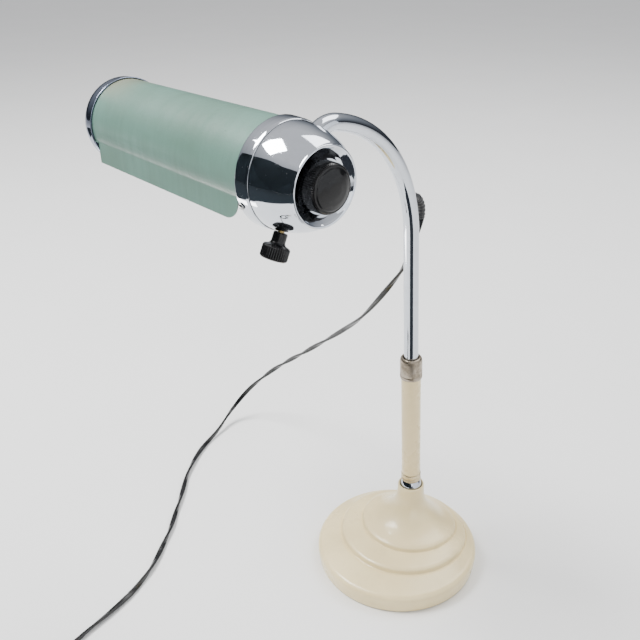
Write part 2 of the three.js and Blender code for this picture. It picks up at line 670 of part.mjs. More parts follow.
const coilRing = turned([
  [COIL_R - COIL_HALF_WIDTH, 1.2], [COIL_R - COIL_HALF_WIDTH + 1.4, 0.2], [COIL_R + COIL_HALF_WIDTH - 1.4, 0.2],
  [COIL_R + COIL_HALF_WIDTH, 1.2], [COIL_R + COIL_HALF_WIDTH, COIL_TOP - 1.2],
  [COIL_R + COIL_HALF_WIDTH - 1.4, COIL_TOP], [COIL_R - COIL_HALF_WIDTH + 1.4, COIL_TOP],
  [COIL_R - COIL_HALF_WIDTH, COIL_TOP - 1.2],
], 36);
coilRing.translate(COIL_CENTRE.x, COIL_CENTRE.y, 0);

// The tie is a flat band looped once round the bundle, at the coil's right side.
function coilTie() {
  const half = COIL_HALF_WIDTH + GAP;
  const loop = new THREE.Shape();
  const t = 1.1;
  loop.moveTo(-half - t, -COIL_TOP / 2 + 0.05);
  loop.lineTo(half + t, -COIL_TOP / 2 + 0.05);
  loop.lineTo(half + t, COIL_TOP / 2 + GAP + t);
  loop.lineTo(-half - t, COIL_TOP / 2 + GAP + t);
  loop.closePath();
  const g = new THREE.ExtrudeGeometry(loop, { depth: 6, bevelEnabled: false });
  g.rotateX(Math.PI / 2);
  g.translate(COIL_R, 3, COIL_TOP / 2);
  const slot = ring(COIL_R - half, COIL_R + half, -5, COIL_TOP + GAP, 36);
  return cut(g, slot).translate(COIL_CENTRE.x, COIL_CENTRE.y, 0);
}

function plugBody() {
  const outline = new THREE.Shape();
  outline.moveTo(0, -4);
  outline.lineTo(6, -5);
  outline.absarc(PLUG_LEN - 8, 0, 11, -Math.PI / 2.4, Math.PI / 2.4, false);
  outline.lineTo(6, 5);
  outline.lineTo(0, 4);
  outline.closePath();
  const g = new THREE.ExtrudeGeometry(outline, { depth: 13, bevelEnabled: false, curveSegments: 8 });
  g.translate(0, 0, -6.5);
  const face = new THREE.BoxGeometry(20, 40, 20).translate(PLUG_LEN + 10, 0, 0);
  return cut(g, face).translate(PLUG_AT.x, PLUG_AT.y, PLUG_AT.z - 1.3);
}

function plugBlade(side) {
  const g = new THREE.BoxGeometry(17, 1.5, 6.3);
  return closed(g.translate(PLUG_AT.x + PLUG_LEN + GAP + 8.5, PLUG_AT.y + side * 6.35, PLUG_AT.z - 1.3));
}

const reliefCurve = smooth(RELIEF_ROUTE);
lamp.add(
  piece('strain_relief', pipe(reliefCurve, RELIEF_R, 8, 10), FLEX),
  piece('cord_upper', pipe(new Stretch(smooth(UPPER_ROUTE), END_GAP, END_GAP), CORD_R, 24, CORD_SIDES), FLEX),
  piece('cord_main', pipe(new Stretch(smooth(MAIN_ROUTE), END_GAP, COIL_LEAD), CORD_R, 50, CORD_SIDES), FLEX),
  piece('cord_coil', coilRing, FLEX),
  piece('coil_tie', coilTie(), FLEX),
  piece('cord_tail', pipe(new Stretch(smooth(TAIL_ROUTE), COIL_LEAD - 2, END_GAP), CORD_R, 6, CORD_SIDES), FLEX),
  piece('plug_body', plugBody(), BAKELITE),
  piece('plug_blade_1', plugBlade(1), BRASS),
  piece('plug_blade_2', plugBlade(-1), BRASS),
);

export default lamp;
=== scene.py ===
"""Desk lamp with a stepped base, a ball-jointed stem, a chrome arm and a half-tube shade.

Builds the visible surfaces around the fixed frame. Metres, +Z up; the lamp faces -Y.
"""

import json
import math

import bmesh
import bpy
import numpy as np
from mathutils import Matrix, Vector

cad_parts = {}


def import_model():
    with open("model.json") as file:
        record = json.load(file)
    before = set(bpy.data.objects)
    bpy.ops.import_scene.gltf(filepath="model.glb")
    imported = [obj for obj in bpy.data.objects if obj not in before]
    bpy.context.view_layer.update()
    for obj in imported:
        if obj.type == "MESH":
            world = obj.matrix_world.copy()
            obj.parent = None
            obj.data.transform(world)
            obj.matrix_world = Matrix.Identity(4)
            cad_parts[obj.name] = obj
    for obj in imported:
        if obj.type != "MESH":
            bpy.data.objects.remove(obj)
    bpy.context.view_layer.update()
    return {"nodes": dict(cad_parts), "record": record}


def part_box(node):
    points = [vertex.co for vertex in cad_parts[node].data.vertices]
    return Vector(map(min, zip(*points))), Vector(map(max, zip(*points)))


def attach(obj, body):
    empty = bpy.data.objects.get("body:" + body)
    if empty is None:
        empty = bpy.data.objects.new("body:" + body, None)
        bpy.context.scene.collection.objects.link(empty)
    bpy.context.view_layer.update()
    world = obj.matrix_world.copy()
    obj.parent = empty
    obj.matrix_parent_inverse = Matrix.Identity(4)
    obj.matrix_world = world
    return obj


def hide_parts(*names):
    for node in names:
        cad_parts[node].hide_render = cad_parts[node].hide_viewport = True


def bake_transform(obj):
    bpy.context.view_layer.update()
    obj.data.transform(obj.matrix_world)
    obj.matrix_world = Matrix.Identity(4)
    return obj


bl_info = {
    "name": "Ball-jointed desk lamp",
    "version": (1, 0, 0),
    "blender": (4, 5, 0),
    "location": "View3D > Sidebar > Lamp",
    "description": "Builds a desk lamp with a stepped base, a chrome arm and a half-tube shade",
    "category": "Add Mesh",
}

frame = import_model()
JOINTS = {j["name"]: j for j in frame["record"]["behaviour"]["joints"]}

MM = 0.001
DEG = math.pi / 180


# ---------------------------------------------------------------- places read from the frame
def unit(v):
    """A vector divided by its length."""
    v = np.asarray(v, float)
    return v / np.linalg.norm(v)


def turn(axis, degrees):
    """Rotation matrix about the x, y or z axis."""
    return np.array(Matrix.Rotation(degrees * DEG, 3, axis))


BALL = np.array(JOINTS["stem_tilt"]["pos_m"], float)
HEAD = np.array(JOINTS["shade_turn"]["pos_m"], float)
HEAD_AXIS = unit(JOINTS["shade_turn"]["axis"])
HEAD_UP = np.array([0.0, 0.0, 1.0])
HEAD_BACK = unit(np.cross(HEAD_UP, HEAD_AXIS))
LEAN_BACK, LEAN_SIDE, ARM_YAW = 2.86, -0.46, 2.06
STEM_TURN = turn("X", LEAN_BACK) @ turn("Y", LEAN_SIDE)
STEM_AXIS = STEM_TURN @ np.array([0.0, 0.0, 1.0])
ARM_TURN = STEM_TURN @ turn("Z", ARM_YAW)
SWITCH_AXIS = unit(JOINTS["switch_knob_turn"]["axis"])
SWITCH_ALONG, SCREWS_ALONG = 0.018, 0.003
SWITCH_AT = HEAD + HEAD_AXIS * SWITCH_ALONG


# ---------------------------------------------------------------- mesh makers
def mesh_piece(name, points, faces, sharp=35):
    """Object from points and faces, faces pointing out, smooth except across edges sharper than the angle."""
    data = bpy.data.meshes.new(name)
    data.from_pydata(np.asarray(points).tolist(), [], faces)
    work = bmesh.new()
    work.from_mesh(data)
    if work.calc_volume(signed=True) < 0:
        bmesh.ops.reverse_faces(work, faces=work.faces)
    work.to_mesh(data)
    work.free()
    data.polygons.foreach_set("use_smooth", np.ones(len(data.polygons), bool))
    data.set_sharp_from_angle(angle=sharp * DEG)
    piece = bpy.data.objects.new(name, data)
    bpy.context.scene.collection.objects.link(piece)
    return piece


def ring_skin(name, rings, loop=False, tips=None, sharp=35):
    """Closed skin: point j of ring i joins j + 1 and ring i + 1. With loop the last ring joins the first,
    otherwise each end closes with a fan to its tip, by default the middle of its ring."""
    rings = np.asarray(rings, float)
    m, n, _ = rings.shape
    i = np.arange(m if loop else m - 1)[:, None]
    j = np.arange(n)[None, :]
    k = (j + 1) % n
    after = (i + 1) % m
    faces = np.stack([i * n + j, i * n + k, after * n + k, after * n + j], -1).reshape(-1, 4).tolist()
    points = rings.reshape(-1, 3)
    if not loop:
        tips = tips or (rings[0].mean(0), rings[-1].mean(0))
        points = np.vstack([points, tips[0], tips[1]])
        j = np.arange(n)
        k = (j + 1) % n
        faces += np.stack([np.full(n, m * n), k, j], -1).tolist()
        faces += np.stack([np.full(n, m * n + 1), (m - 1) * n + j, (m - 1) * n + k], -1).tolist()
    return mesh_piece(name, points, faces, sharp)


def rounded(points, radius, steps=4, loop=False):
    """The polyline with each corner replaced by a quadratic curve that leaves its sides at the radius,
    or at 0.45 of the shorter side."""
    points = [np.asarray(p, float) for p in points]
    n = len(points)
    radii = radius if isinstance(radius, (list, tuple)) else [radius] * n
    t = np.linspace(0, 1, steps + 1)[:, None]
    rows = [] if loop else [points[0][None]]
    for i in range(0 if loop else 1, n if loop else n - 1):
        p, q, r = points[i - 1], points[i], points[(i + 1) % n]
        back, on = np.linalg.norm(p - q), np.linalg.norm(r - q)
        reach = min(radii[i], 0.45 * back, 0.45 * on)
        a, b = q + (p - q) * reach / back, q + (r - q) * reach / on
        rows.append((1 - t) ** 2 * a + 2 * t * (1 - t) * q + t ** 2 * b)
    if not loop:
        rows.append(points[-1][None])
    return np.vstack(rows)


def turned(name, profile, origin, axis, segments=96, teeth=0, depth=0.0, toothed=None, sharp=35):
    """Profile rows [radius, distance along the axis] in millimetres carried round the axis. Ends on the axis
    become tips. Where toothed is true the radius drops by up to depth between the teeth."""
    profile = np.asarray(profile, float) * MM
    axis = unit(axis)
    side = unit(np.cross(axis, [0.31, 0.94, 0.12]))
    other = np.cross(axis, side)
    tips = None
    loop = profile[0, 0] > 1e-9 and profile[-1, 0] > 1e-9
    rows = profile
    if not loop:
        tips = (origin + axis * profile[0, 1], origin + axis * profile[-1, 1])
        rows = profile[1:-1]
    a = np.linspace(0, 2 * math.pi, segments, endpoint=False)
    radius = np.repeat(rows[:, :1], segments, 1)
    if teeth:
        on = np.array([toothed(r / MM, s / MM) for r, s in rows], float)[:, None]
        radius = radius - on * depth * MM * (1 - np.cos(teeth * a))[None] / 2
    round_about = np.cos(a)[None, :, None] * side + np.sin(a)[None, :, None] * other
    rings = origin + rows[:, 1, None, None] * axis + radius[:, :, None] * round_about
    return ring_skin(name, rings, loop, tips, sharp)


def two_sided(name, outer, inner, sharp=35):
    """Closed sheet between two grids of the same size: both grids and the four strips round their edges."""
    m, n, _ = outer.shape
    i = np.arange(m - 1)[:, None]
    j = np.arange(n - 1)[None, :]
    quad = np.stack([i * n + j, i * n + j + 1, (i + 1) * n + j + 1, (i + 1) * n + j], -1).reshape(-1, 4)
    edge = np.concatenate([
        np.arange(n - 1), np.arange(m - 1) * n + n - 1,
        (m - 1) * n + np.arange(n - 1, 0, -1), np.arange(m - 1, 0, -1) * n,
    ])
    nxt = np.roll(edge, -1)
    total = m * n
    faces = quad.tolist() + (quad[:, ::-1] + total).tolist()
    faces += np.stack([edge, edge + total, nxt + total, nxt], -1).tolist()
    return mesh_piece(name, np.vstack([outer.reshape(-1, 3), inner.reshape(-1, 3)]), faces, sharp)


def curve_through(points, spacing):
    """Centripetal curve through the points, cut into equal steps of about the spacing."""
    p = np.asarray(points, float)
    p = np.vstack([2 * p[0] - p[1], p, 2 * p[-1] - p[-2]])
    t = np.linspace(0, 1, 24, endpoint=False)[:, None]
    parts = []
    for a, b, c, d in zip(p, p[1:], p[2:], p[3:]):
        gap = [max(np.linalg.norm(y - x), 1e-9) ** 0.5 for x, y in ((a, b), (b, c), (c, d))]
        m1 = (b - a) / gap[0] - (c - a) / (gap[0] + gap[1]) + (c - b) / gap[1]
        m2 = (c - b) / gap[1] - (d - b) / (gap[1] + gap[2]) + (d - c) / gap[2]
        m1, m2 = m1 * gap[1], m2 * gap[1]
        parts.append((2 * t ** 3 - 3 * t ** 2 + 1) * b + (t ** 3 - 2 * t ** 2 + t) * m1
                     + (3 * t ** 2 - 2 * t ** 3) * c + (t ** 3 - t ** 2) * m2)
    parts.append(p[-2][None])
    return even(np.vstack(parts), spacing)


def even(path, spacing):
    """The path cut again at equal distances."""
    along = np.concatenate([[0], np.cumsum(np.linalg.norm(np.diff(path, axis=0), axis=1))])
    at = np.linspace(0, along[-1], max(3, int(round(along[-1] / spacing)) + 1))
    return np.stack([np.interp(at, along, path[:, k]) for k in range(3)], -1)


def path_length(path):
    """Sum of the path's steps."""
    return float(np.linalg.norm(np.diff(path, axis=0), axis=1).sum())


def carried(name, path, radius, sides=24, guide=(0.5, -0.6, 0.62), twist=None, section=None, sharp=35):
    """Section carried along a path. At each point the section stands on the two directions square to the
    tangent; its radius may change along the path, its shape with the angle, and it may turn by a twist."""
    tangent = np.gradient(path, axis=0)
    tangent /= np.linalg.norm(tangent, axis=1)[:, None]
    side = np.cross(tangent, np.asarray(guide, float))
    side /= np.linalg.norm(side, axis=1)[:, None]
    other = np.cross(tangent, side)
    a = np.linspace(0, 2 * math.pi, sides, endpoint=False)[None]
    turn_by = np.zeros((len(path), 1)) if twist is None else np.asarray(twist)[:, None]
    shape = np.ones_like(a) if section is None else section(a)
    reach = np.broadcast_to(np.asarray(radius, float).reshape(-1, 1), (len(path), 1)) * shape
    around = a + turn_by
    rings = (path[:, None] + (reach * np.cos(around))[..., None] * side[:, None]
             + (reach * np.sin(around))[..., None] * other[:, None])
    return ring_skin(name, rings, sharp=sharp)


# ---------------------------------------------------------------- shader maths
class Number:
    """A number socket of a finish; arithmetic on it adds Math nodes."""

    def __init__(self, finish, socket):
        self.finish = finish
        self.socket = socket

    def using(self, operation, first, second):
        """The result of one Math node."""
        node = self.finish.node("ShaderNodeMath", {"operation": operation}, {0: first, 1: second})
        return Number(self.finish, node.outputs[0])

    def __add__(self, other):
        return self.using("ADD", self, other)

    def __sub__(self, other):
        return self.using("SUBTRACT", self, other)

    def __rsub__(self, other):
        return self.using("SUBTRACT", other, self)

    def __mul__(self, other):
        return self.using("MULTIPLY", self, other)

    __radd__ = __add__
    __rmul__ = __mul__


class Finish:
    """A procedural material on Object coordinates, with its Principled shader."""

    def __init__(self, name, **constants):
        self.material = bpy.data.materials.new(name)
        self.material.use_nodes = True
        self.tree = self.material.node_tree
        self.shader = self.tree.nodes["Principled BSDF"]
        for socket, value in constants.items():
            self.shader.inputs[socket.replace("_", " ")].default_value = value
        self.place = self.node("ShaderNodeTexCoord").outputs["Object"]

    def node(self, kind, settings=None, sockets=None):
        """A node of a type, its settings set first, then the values or links of its sockets."""
        made = self.tree.nodes.new(kind)
        for key, value in (settings or {}).items():
            setattr(made, key, value)
        for key, value in (sockets or {}).items():
            self.put(made.inputs[key], value)
        return made

    def put(self, socket, value):
        """Links or sets one socket."""
        if isinstance(value, Number):
            value = value.socket
        if isinstance(value, bpy.types.NodeSocket):
            self.tree.links.new(value, socket)
        else:
            socket.default_value = value

    def noise(self, scale, detail=3.0, stretch=None, rough=0.55):
        """Cloudy noise, about 1 / scale metres in size."""
        where = self.place
        if stretch is not None:
            where = self.node("ShaderNodeMapping", None, {"Vector": where, "Scale": stretch}).outputs[0]
        made = self.node("ShaderNodeTexNoise", None,
                         {"Vector": where, "Scale": scale, "Detail": detail, "Roughness": rough})
        return Number(self, made.outputs[0])

    def coordinate(self, axis):
        """One coordinate of the place, in metres."""
        made = self.node("ShaderNodeSeparateXYZ", None, {0: self.place})
        return Number(self, made.outputs["XYZ".index(axis)])

    def ramp(self, value, low, high):
        """Smooth step of a value from 0 at low to 1 at high."""
        made = self.node("ShaderNodeMapRange", {"interpolation_type": "SMOOTHSTEP"},
                         {"Value": value, "From Min": low, "From Max": high})
        return Number(self, made.outputs[0])

    def mix(self, factor, first, second):
        """Colour between two colours."""
        made = self.node("ShaderNodeMix", {"data_type": "RGBA"}, {0: factor, 6: first, 7: second})
        return made.outputs[2]

    def finish(self, colour=None, roughness=None, relief=None, depth=0.0001, strength=0.5, coat=None):
        """Links what changes over the surface; relief goes through a Bump of the given depth in metres."""
        if colour is not None:
            self.put(self.shader.inputs["Base Color"], colour)
        if roughness is not None:
            self.put(self.shader.inputs["Roughness"], roughness)
        if coat is not None:
            self.put(self.shader.inputs["Coat Weight"], coat)
        if relief is not None:
            bump = self.node("ShaderNodeBump", None,
                             {"Height": relief, "Distance": depth, "Strength": strength})
            self.put(self.shader.inputs["Normal"], bump.outputs[0])
        return self.material


def tint(colour, factor, shift=(1, 1, 1)):
    """A colour made lighter or darker, and shifted."""
    return tuple(min(1.0, c * factor * s) for c, s in zip(colour[:3], shift)) + (1.0,)


def enamel(name, colour, metal_at_chips=0.0):
    """Old gloss enamel: faint mottling and yellowing, fine orange peel, a few specks and rubbed places."""
    f = Finish(name, IOR=1.5, Coat_Roughness=0.12, Specular_IOR_Level=0.5)
    cloud = f.noise(14, 4)
    fine = f.noise(1400, 2)
    peel = f.noise(420, 3)
    specks = f.ramp(f.noise(330, 2), 0.74, 0.79)
    grime = f.ramp(f.noise(38, 6, rough=0.7), 0.5, 0.8)
    base = f.mix(f.ramp(cloud, 0.3, 0.72), tint(colour, 1.03), tint(colour, 0.9, (1, 0.985, 0.93)))
    base = f.mix(grime * 0.35, base, tint(colour, 0.72, (1, 0.96, 0.86)))
    base = f.mix(specks * (0.55 + metal_at_chips), base, tint(colour, 0.34, (1.1, 0.95, 0.8)))
    rough = 0.24 + grime * 0.2 + cloud * 0.08 + specks * 0.25
    relief = peel * 0.6 + fine * 0.12 + cloud * 0.8 - specks * 0.6
    return f.finish(base, rough, relief, 0.00016, 0.45, 0.25 - grime * 0.15)


def worn_green(name, colour):
    """Thin green enamel on the shade: orange peel with drawn streaks round the tube, warm rubbed far end."""
    f = Finish(name, IOR=1.5, Coat_Roughness=0.2)
    cloud = f.noise(16, 4)
    streaks = f.noise(150, 3, (1.0, 0.12, 0.12))
    peel = f.noise(520, 3)
    fine = f.noise(1900, 2)
    chips = f.ramp(f.noise(210, 3), 0.745, 0.765)
    far = f.ramp(0.0 - f.coordinate("X"), 0.17, 0.235)
    top = f.ramp(f.coordinate("Z"), 0.432, 0.447)
    base = f.mix(f.ramp(cloud, 0.3, 0.7), tint(colour, 1.06), tint(colour, 0.86, (1.04, 1, 0.96)))
    base = f.mix(f.ramp(streaks, 0.35, 0.75) * 0.3, base, tint(colour, 0.76, (0.95, 1, 1)))
    base = f.mix(far * top * 0.55, base, (0.3, 0.2, 0.11, 1))
    base = f.mix(chips * 0.8, base, (0.06, 0.045, 0.035, 1))
    rough = 0.3 + f.ramp(streaks, 0.3, 0.7) * 0.16 + chips * 0.3
    relief = peel * 0.7 + fine * 0.2 + streaks * 0.7 - chips * 0.8
    return f.finish(base, rough, relief, 0.00022, 0.5, 0.18 - chips * 0.18)


def plated(name, colour, wave=1.0, rub=0.1):
    """Polished plating: slow waves in the reflections, faint smears, fine pits and hairlines."""
    f = Finish(name, Metallic=1.0)
    slow = f.noise(30, 2)
    smear = f.ramp(f.noise(46, 5, (1, 0.5, 2), 0.7), 0.45, 0.8)
    hair = f.ramp(f.noise(700, 2, (0.06, 1, 1)), 0.62, 0.7)
    pits = f.ramp(f.noise(650, 2), 0.73, 0.77)
    base = f.mix(smear * 0.5, tint(colour, 1.0), tint(colour, 0.8, (1.02, 1, 0.95)))
    base = f.mix(pits * 0.7, base, tint(colour, 0.25, (1.1, 0.95, 0.8)))
    rough = 0.045 + smear * rub + hair * 0.05 + pits * 0.4
    relief = slow * wave + hair * 0.01 - pits * 0.05
    return f.finish(base, rough, relief, 0.0009, 0.35)


def rubbed_metal(name, clean, dull, rough=0.22, grain=(1, 1, 1)):
    """Bare or worn metal: two tones in patches, directional fine grain, darker pits."""
    f = Finish(name, Metallic=1.0)
    patch = f.ramp(f.noise(120, 5, rough=0.65), 0.38, 0.66)
    lines = f.noise(1500, 2, grain)
    pits = f.ramp(f.noise(520, 3), 0.68, 0.76)
    base = f.mix(patch, clean, dull)
    base = f.mix(pits * 0.7, base, tint(dull, 0.3))
    return f.finish(base, rough + patch * 0.2 + lines * 0.08 + pits * 0.25,
                    lines * 0.4 + patch * 0.4 - pits, 0.00008, 0.5)


def moulded(name, colour, gloss=0.16, grain=900, shine=0.5):
    """Moulded black resin or rubber: dusty bloom, faint swirls and fine scratches."""
    f = Finish(name, IOR=1.54, Specular_IOR_Level=shine)
    bloom = f.ramp(f.noise(90, 5, rough=0.7), 0.46, 0.8)
    fine = f.noise(grain, 3)
    scratch = f.ramp(f.noise(800, 2, (0.08, 1, 1)), 0.66, 0.72)
    base = f.mix(bloom * 0.5, colour, tint(colour, 1.9, (1.1, 1, 0.9)))
    base = f.mix(scratch * 0.4, base, tint(colour, 3.0))
    return f.finish(base, gloss + bloom * 0.2 + scratch * 0.1, fine * 0.6 + bloom * 0.2 - scratch * 0.3,
                    0.00006, 0.5)


def matte(name, light, dark, grain, rough=0.8, depth=0.0004):
    """Felt, fibre, cast or glazed surfaces: two tones mixed by grain, with matching relief."""
    f = Finish(name)
    cloud = f.ramp(f.noise(60, 4), 0.35, 0.7)
    fibres = f.noise(grain, 4, rough=0.7)
    base = f.mix(f.ramp(fibres, 0.3, 0.7), dark, light)
    base = f.mix(cloud * 0.3, base, tint(dark, 0.8))
    return f.finish(base, rough - fibres * 0.12, fibres + cloud * 0.3, depth, 0.6)


def frosted(name):
    """Frosted bulb: milky glass, greyer in dusty patches."""
    f = Finish(name, Transmission_Weight=0.35, IOR=1.45)
    dust = f.ramp(f.noise(70, 5, rough=0.7), 0.4, 0.8)
    base = f.mix(dust, (0.92, 0.92, 0.9, 1), (0.8, 0.79, 0.75, 1))
    return f.finish(base, 0.32 + dust * 0.2, f.noise(900, 3), 0.00005, 0.4)


FINISHES = {}


def look(name):
    """The finish of that name, made once."""
    return FINISHES[name]


def settle(piece, node, body, finish):
    """Puts the finish on a piece, lets it ride on its body and stand for its node."""
    piece.data.materials.clear()
    piece.data.materials.append(look(finish))
    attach(piece, body)
    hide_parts(*([node] if isinstance(node, str) else node))
    return piece


# ---------------------------------------------------------------- sizes and colours
class LampSizes(bpy.types.PropertyGroup):
    """Sizes that a user would change."""

    cord_width: bpy.props.FloatProperty(
        name="Flex width", description="Width of the flat twin flex", default=0.005, min=0.003, max=0.008,
        subtype="DISTANCE", unit="LENGTH")
    cord_pitch: bpy.props.FloatProperty(
        name="Flex twist", description="Length of flex in one turn of its twist", default=0.13,
        subtype="DISTANCE", unit="LENGTH")
    coil_turns: bpy.props.FloatProperty(
        name="Coil turns", description="Turns of spare flex in the coil", default=5.25, min=1.25, max=5.25)
    sheet: bpy.props.FloatProperty(
        name="Shade sheet", description="Thickness of the shade's sheet", default=0.0008,
        subtype="DISTANCE", unit="LENGTH")
    flap: bpy.props.FloatProperty(
        name="Shade flap", description="Drop of the flap below the crease", default=0.017,
        subtype="DISTANCE", unit="LENGTH")
    knob_teeth: bpy.props.IntProperty(
        name="Knob serrations", description="Serrations round the end knob", default=72, min=12, max=160)
    switch_teeth: bpy.props.IntProperty(
        name="Switch serrations", description="Serrations round the switch knob", default=36, min=12, max=90)


class LampColours(bpy.types.PropertyGroup):
    """Colours of the lamp's finishes."""

    cream: bpy.props.FloatVectorProperty(
        name="Cream", description="Enamel of the base and stem", default=(0.88, 0.73, 0.41), size=3,
        min=0, max=1, subtype="COLOR")
    green: bpy.props.FloatVectorProperty(
        name="Green", description="Enamel of the shade", default=(0.118, 0.222, 0.18), size=3,
        min=0, max=1, subtype="COLOR")
    chrome: bpy.props.FloatVectorProperty(
        name="Chrome", description="Plating of the arm, housing, band and cap", default=(0.56, 0.59, 0.64),
        size=3, min=0, max=1, subtype="COLOR")
    black: bpy.props.FloatVectorProperty(
        name="Black", description="Resin of the knobs and plug", default=(0.012, 0.012, 0.013), size=3,
        min=0, max=1, subtype="COLOR")


# ---------------------------------------------------------------- finishes
class LAMP_OT_finishes(bpy.types.Operator):
    """Makes the finishes and puts them on the nodes that keep their own shape"""

    bl_idname = "lamp.finishes"
    bl_label = "Finishes"

    def execute(self, context):
        colours = context.scene.lamp_colours
        cream = tuple(colours.cream) + (1,)
        green = tuple(colours.green) + (1,)
        chrome = tuple(colours.chrome) + (1,)
        black = tuple(colours.black) + (1,)
        brass, dull_brass = (0.58, 0.42, 0.17, 1), (0.3, 0.22, 0.12, 1)
        steel, dull_steel = (0.42, 0.43, 0.44, 1), (0.24, 0.24, 0.24, 1)
        FINISHES.update({
            "cream": enamel("cream enamel", cream),
            "stem cream": enamel("stem cream enamel", tint(cream, 0.94, (1, 0.98, 0.95)), 0.2),
            "green": worn_green("green enamel", green),
            "arm chrome": plated("arm chrome", chrome, 0.25, 0.14),
            "housing chrome": plated("housing chrome", tint(chrome, 1.05), 2.6, 0.07),
            "band chrome": plated("band chrome", chrome, 0.6, 0.09),
            # The far cap's plating is darkened to half and tinted blue: a painted dark reflection on the same
            # chrome as the band.
            "cap chrome with painted dark reflection": plated("cap chrome with painted dark reflection", tint(chrome, 0.5, (0.92, 0.98, 1.15)), 0.8, 0.14),
            # The ball's plating is darkened: a painted dark reflection on the same chrome as the arm.
            "ball chrome with painted dark reflection": plated("ball chrome with painted dark reflection", tint(chrome, 0.8), 0.2, 0.1),
            "collar": rubbed_metal("collar brass", (0.62, 0.52, 0.33, 1), (0.4, 0.33, 0.22, 1), 0.24),
            "ferrule": rubbed_metal("ferrule plating", (0.36, 0.31, 0.25, 1), (0.2, 0.165, 0.12, 1), 0.26),
            "brass": rubbed_metal("turned brass", brass, dull_brass, 0.25),
            "steel": rubbed_metal("zinc steel", steel, dull_steel, 0.3),
            "spring steel": rubbed_metal("spring steel", steel, dull_steel, 0.25),
            "screw steel": rubbed_metal("screw steel", (0.5, 0.5, 0.5, 1), (0.25, 0.24, 0.22, 1), 0.22),
            "black knob": moulded("black resin", tint(black, 0.5), 0.14, 900, 0.22),
            "black switch": moulded("switch resin", tint(black, 0.5), 0.2, 900, 0.25),
            "black plug": moulded("plug resin", tint(black, 1.4), 0.28),
            "flex": moulded("black flex", tint(black, 0.6), 0.2, 2200, 0.35),
            "relief": moulded("relief rubber", tint(black, 1.6), 0.42, 1500, 0.4),
            "iron": matte("cast iron", (0.12, 0.115, 0.11, 1), (0.05, 0.048, 0.046, 1), 420),
            "felt": matte("green felt", (0.075, 0.11, 0.07, 1), (0.03, 0.05, 0.03, 1), 1600, 0.95),
            "fibre": matte("pressed fibre", (0.24, 0.09, 0.05, 1), (0.12, 0.045, 0.025, 1), 1100, 0.75),
            "porcelain": matte("glazed porcelain", (0.85, 0.82, 0.76, 1), (0.78, 0.74, 0.66, 1), 300, 0.3,
                               0.00005),
            "bulb": frosted("frosted bulb"),
        })
        kept = {
            "brass": ["seat_cup", "tension_plug", "friction_sleeve", "arm_locknut", "switch_shaft"],
            "steel": ["stem_plug", "arm_stop_ring", "swivel_plate", "clamp_rod", "shade_carrier"],
            "spring steel": ["pressure_spring", "weight_screw_1", "weight_screw_2", "weight_screw_3"],
            "iron": ["base_weight"],
            "felt": ["felt_pad"],
            "fibre": ["friction_washer"],
            "black switch": ["switch_body"],
            "flex": ["lamp_lead"],
        }
        for name, nodes in kept.items():
            for node in nodes:
                part = frame["nodes"][node]
                part.data.materials.clear()
                part.data.materials.append(look(name))
        return {"FINISHED"}


# ---------------------------------------------------------------- stage
CAMERA_PLACE = (0.3611, -0.4780, 0.5740)
CAMERA_RIGHT = (0.725458, 0.688112, -0.014564)
CAMERA_AHEAD = (-0.614138, 0.637627, -0.465045)
FLOOR_HALF, FLOOR_DROP = 6.0, 0.0005
DARK_PANEL, DARKER_PANEL = (0.006, 0.012, 0.016, 1), (0.004, 0.006, 0.01, 1)


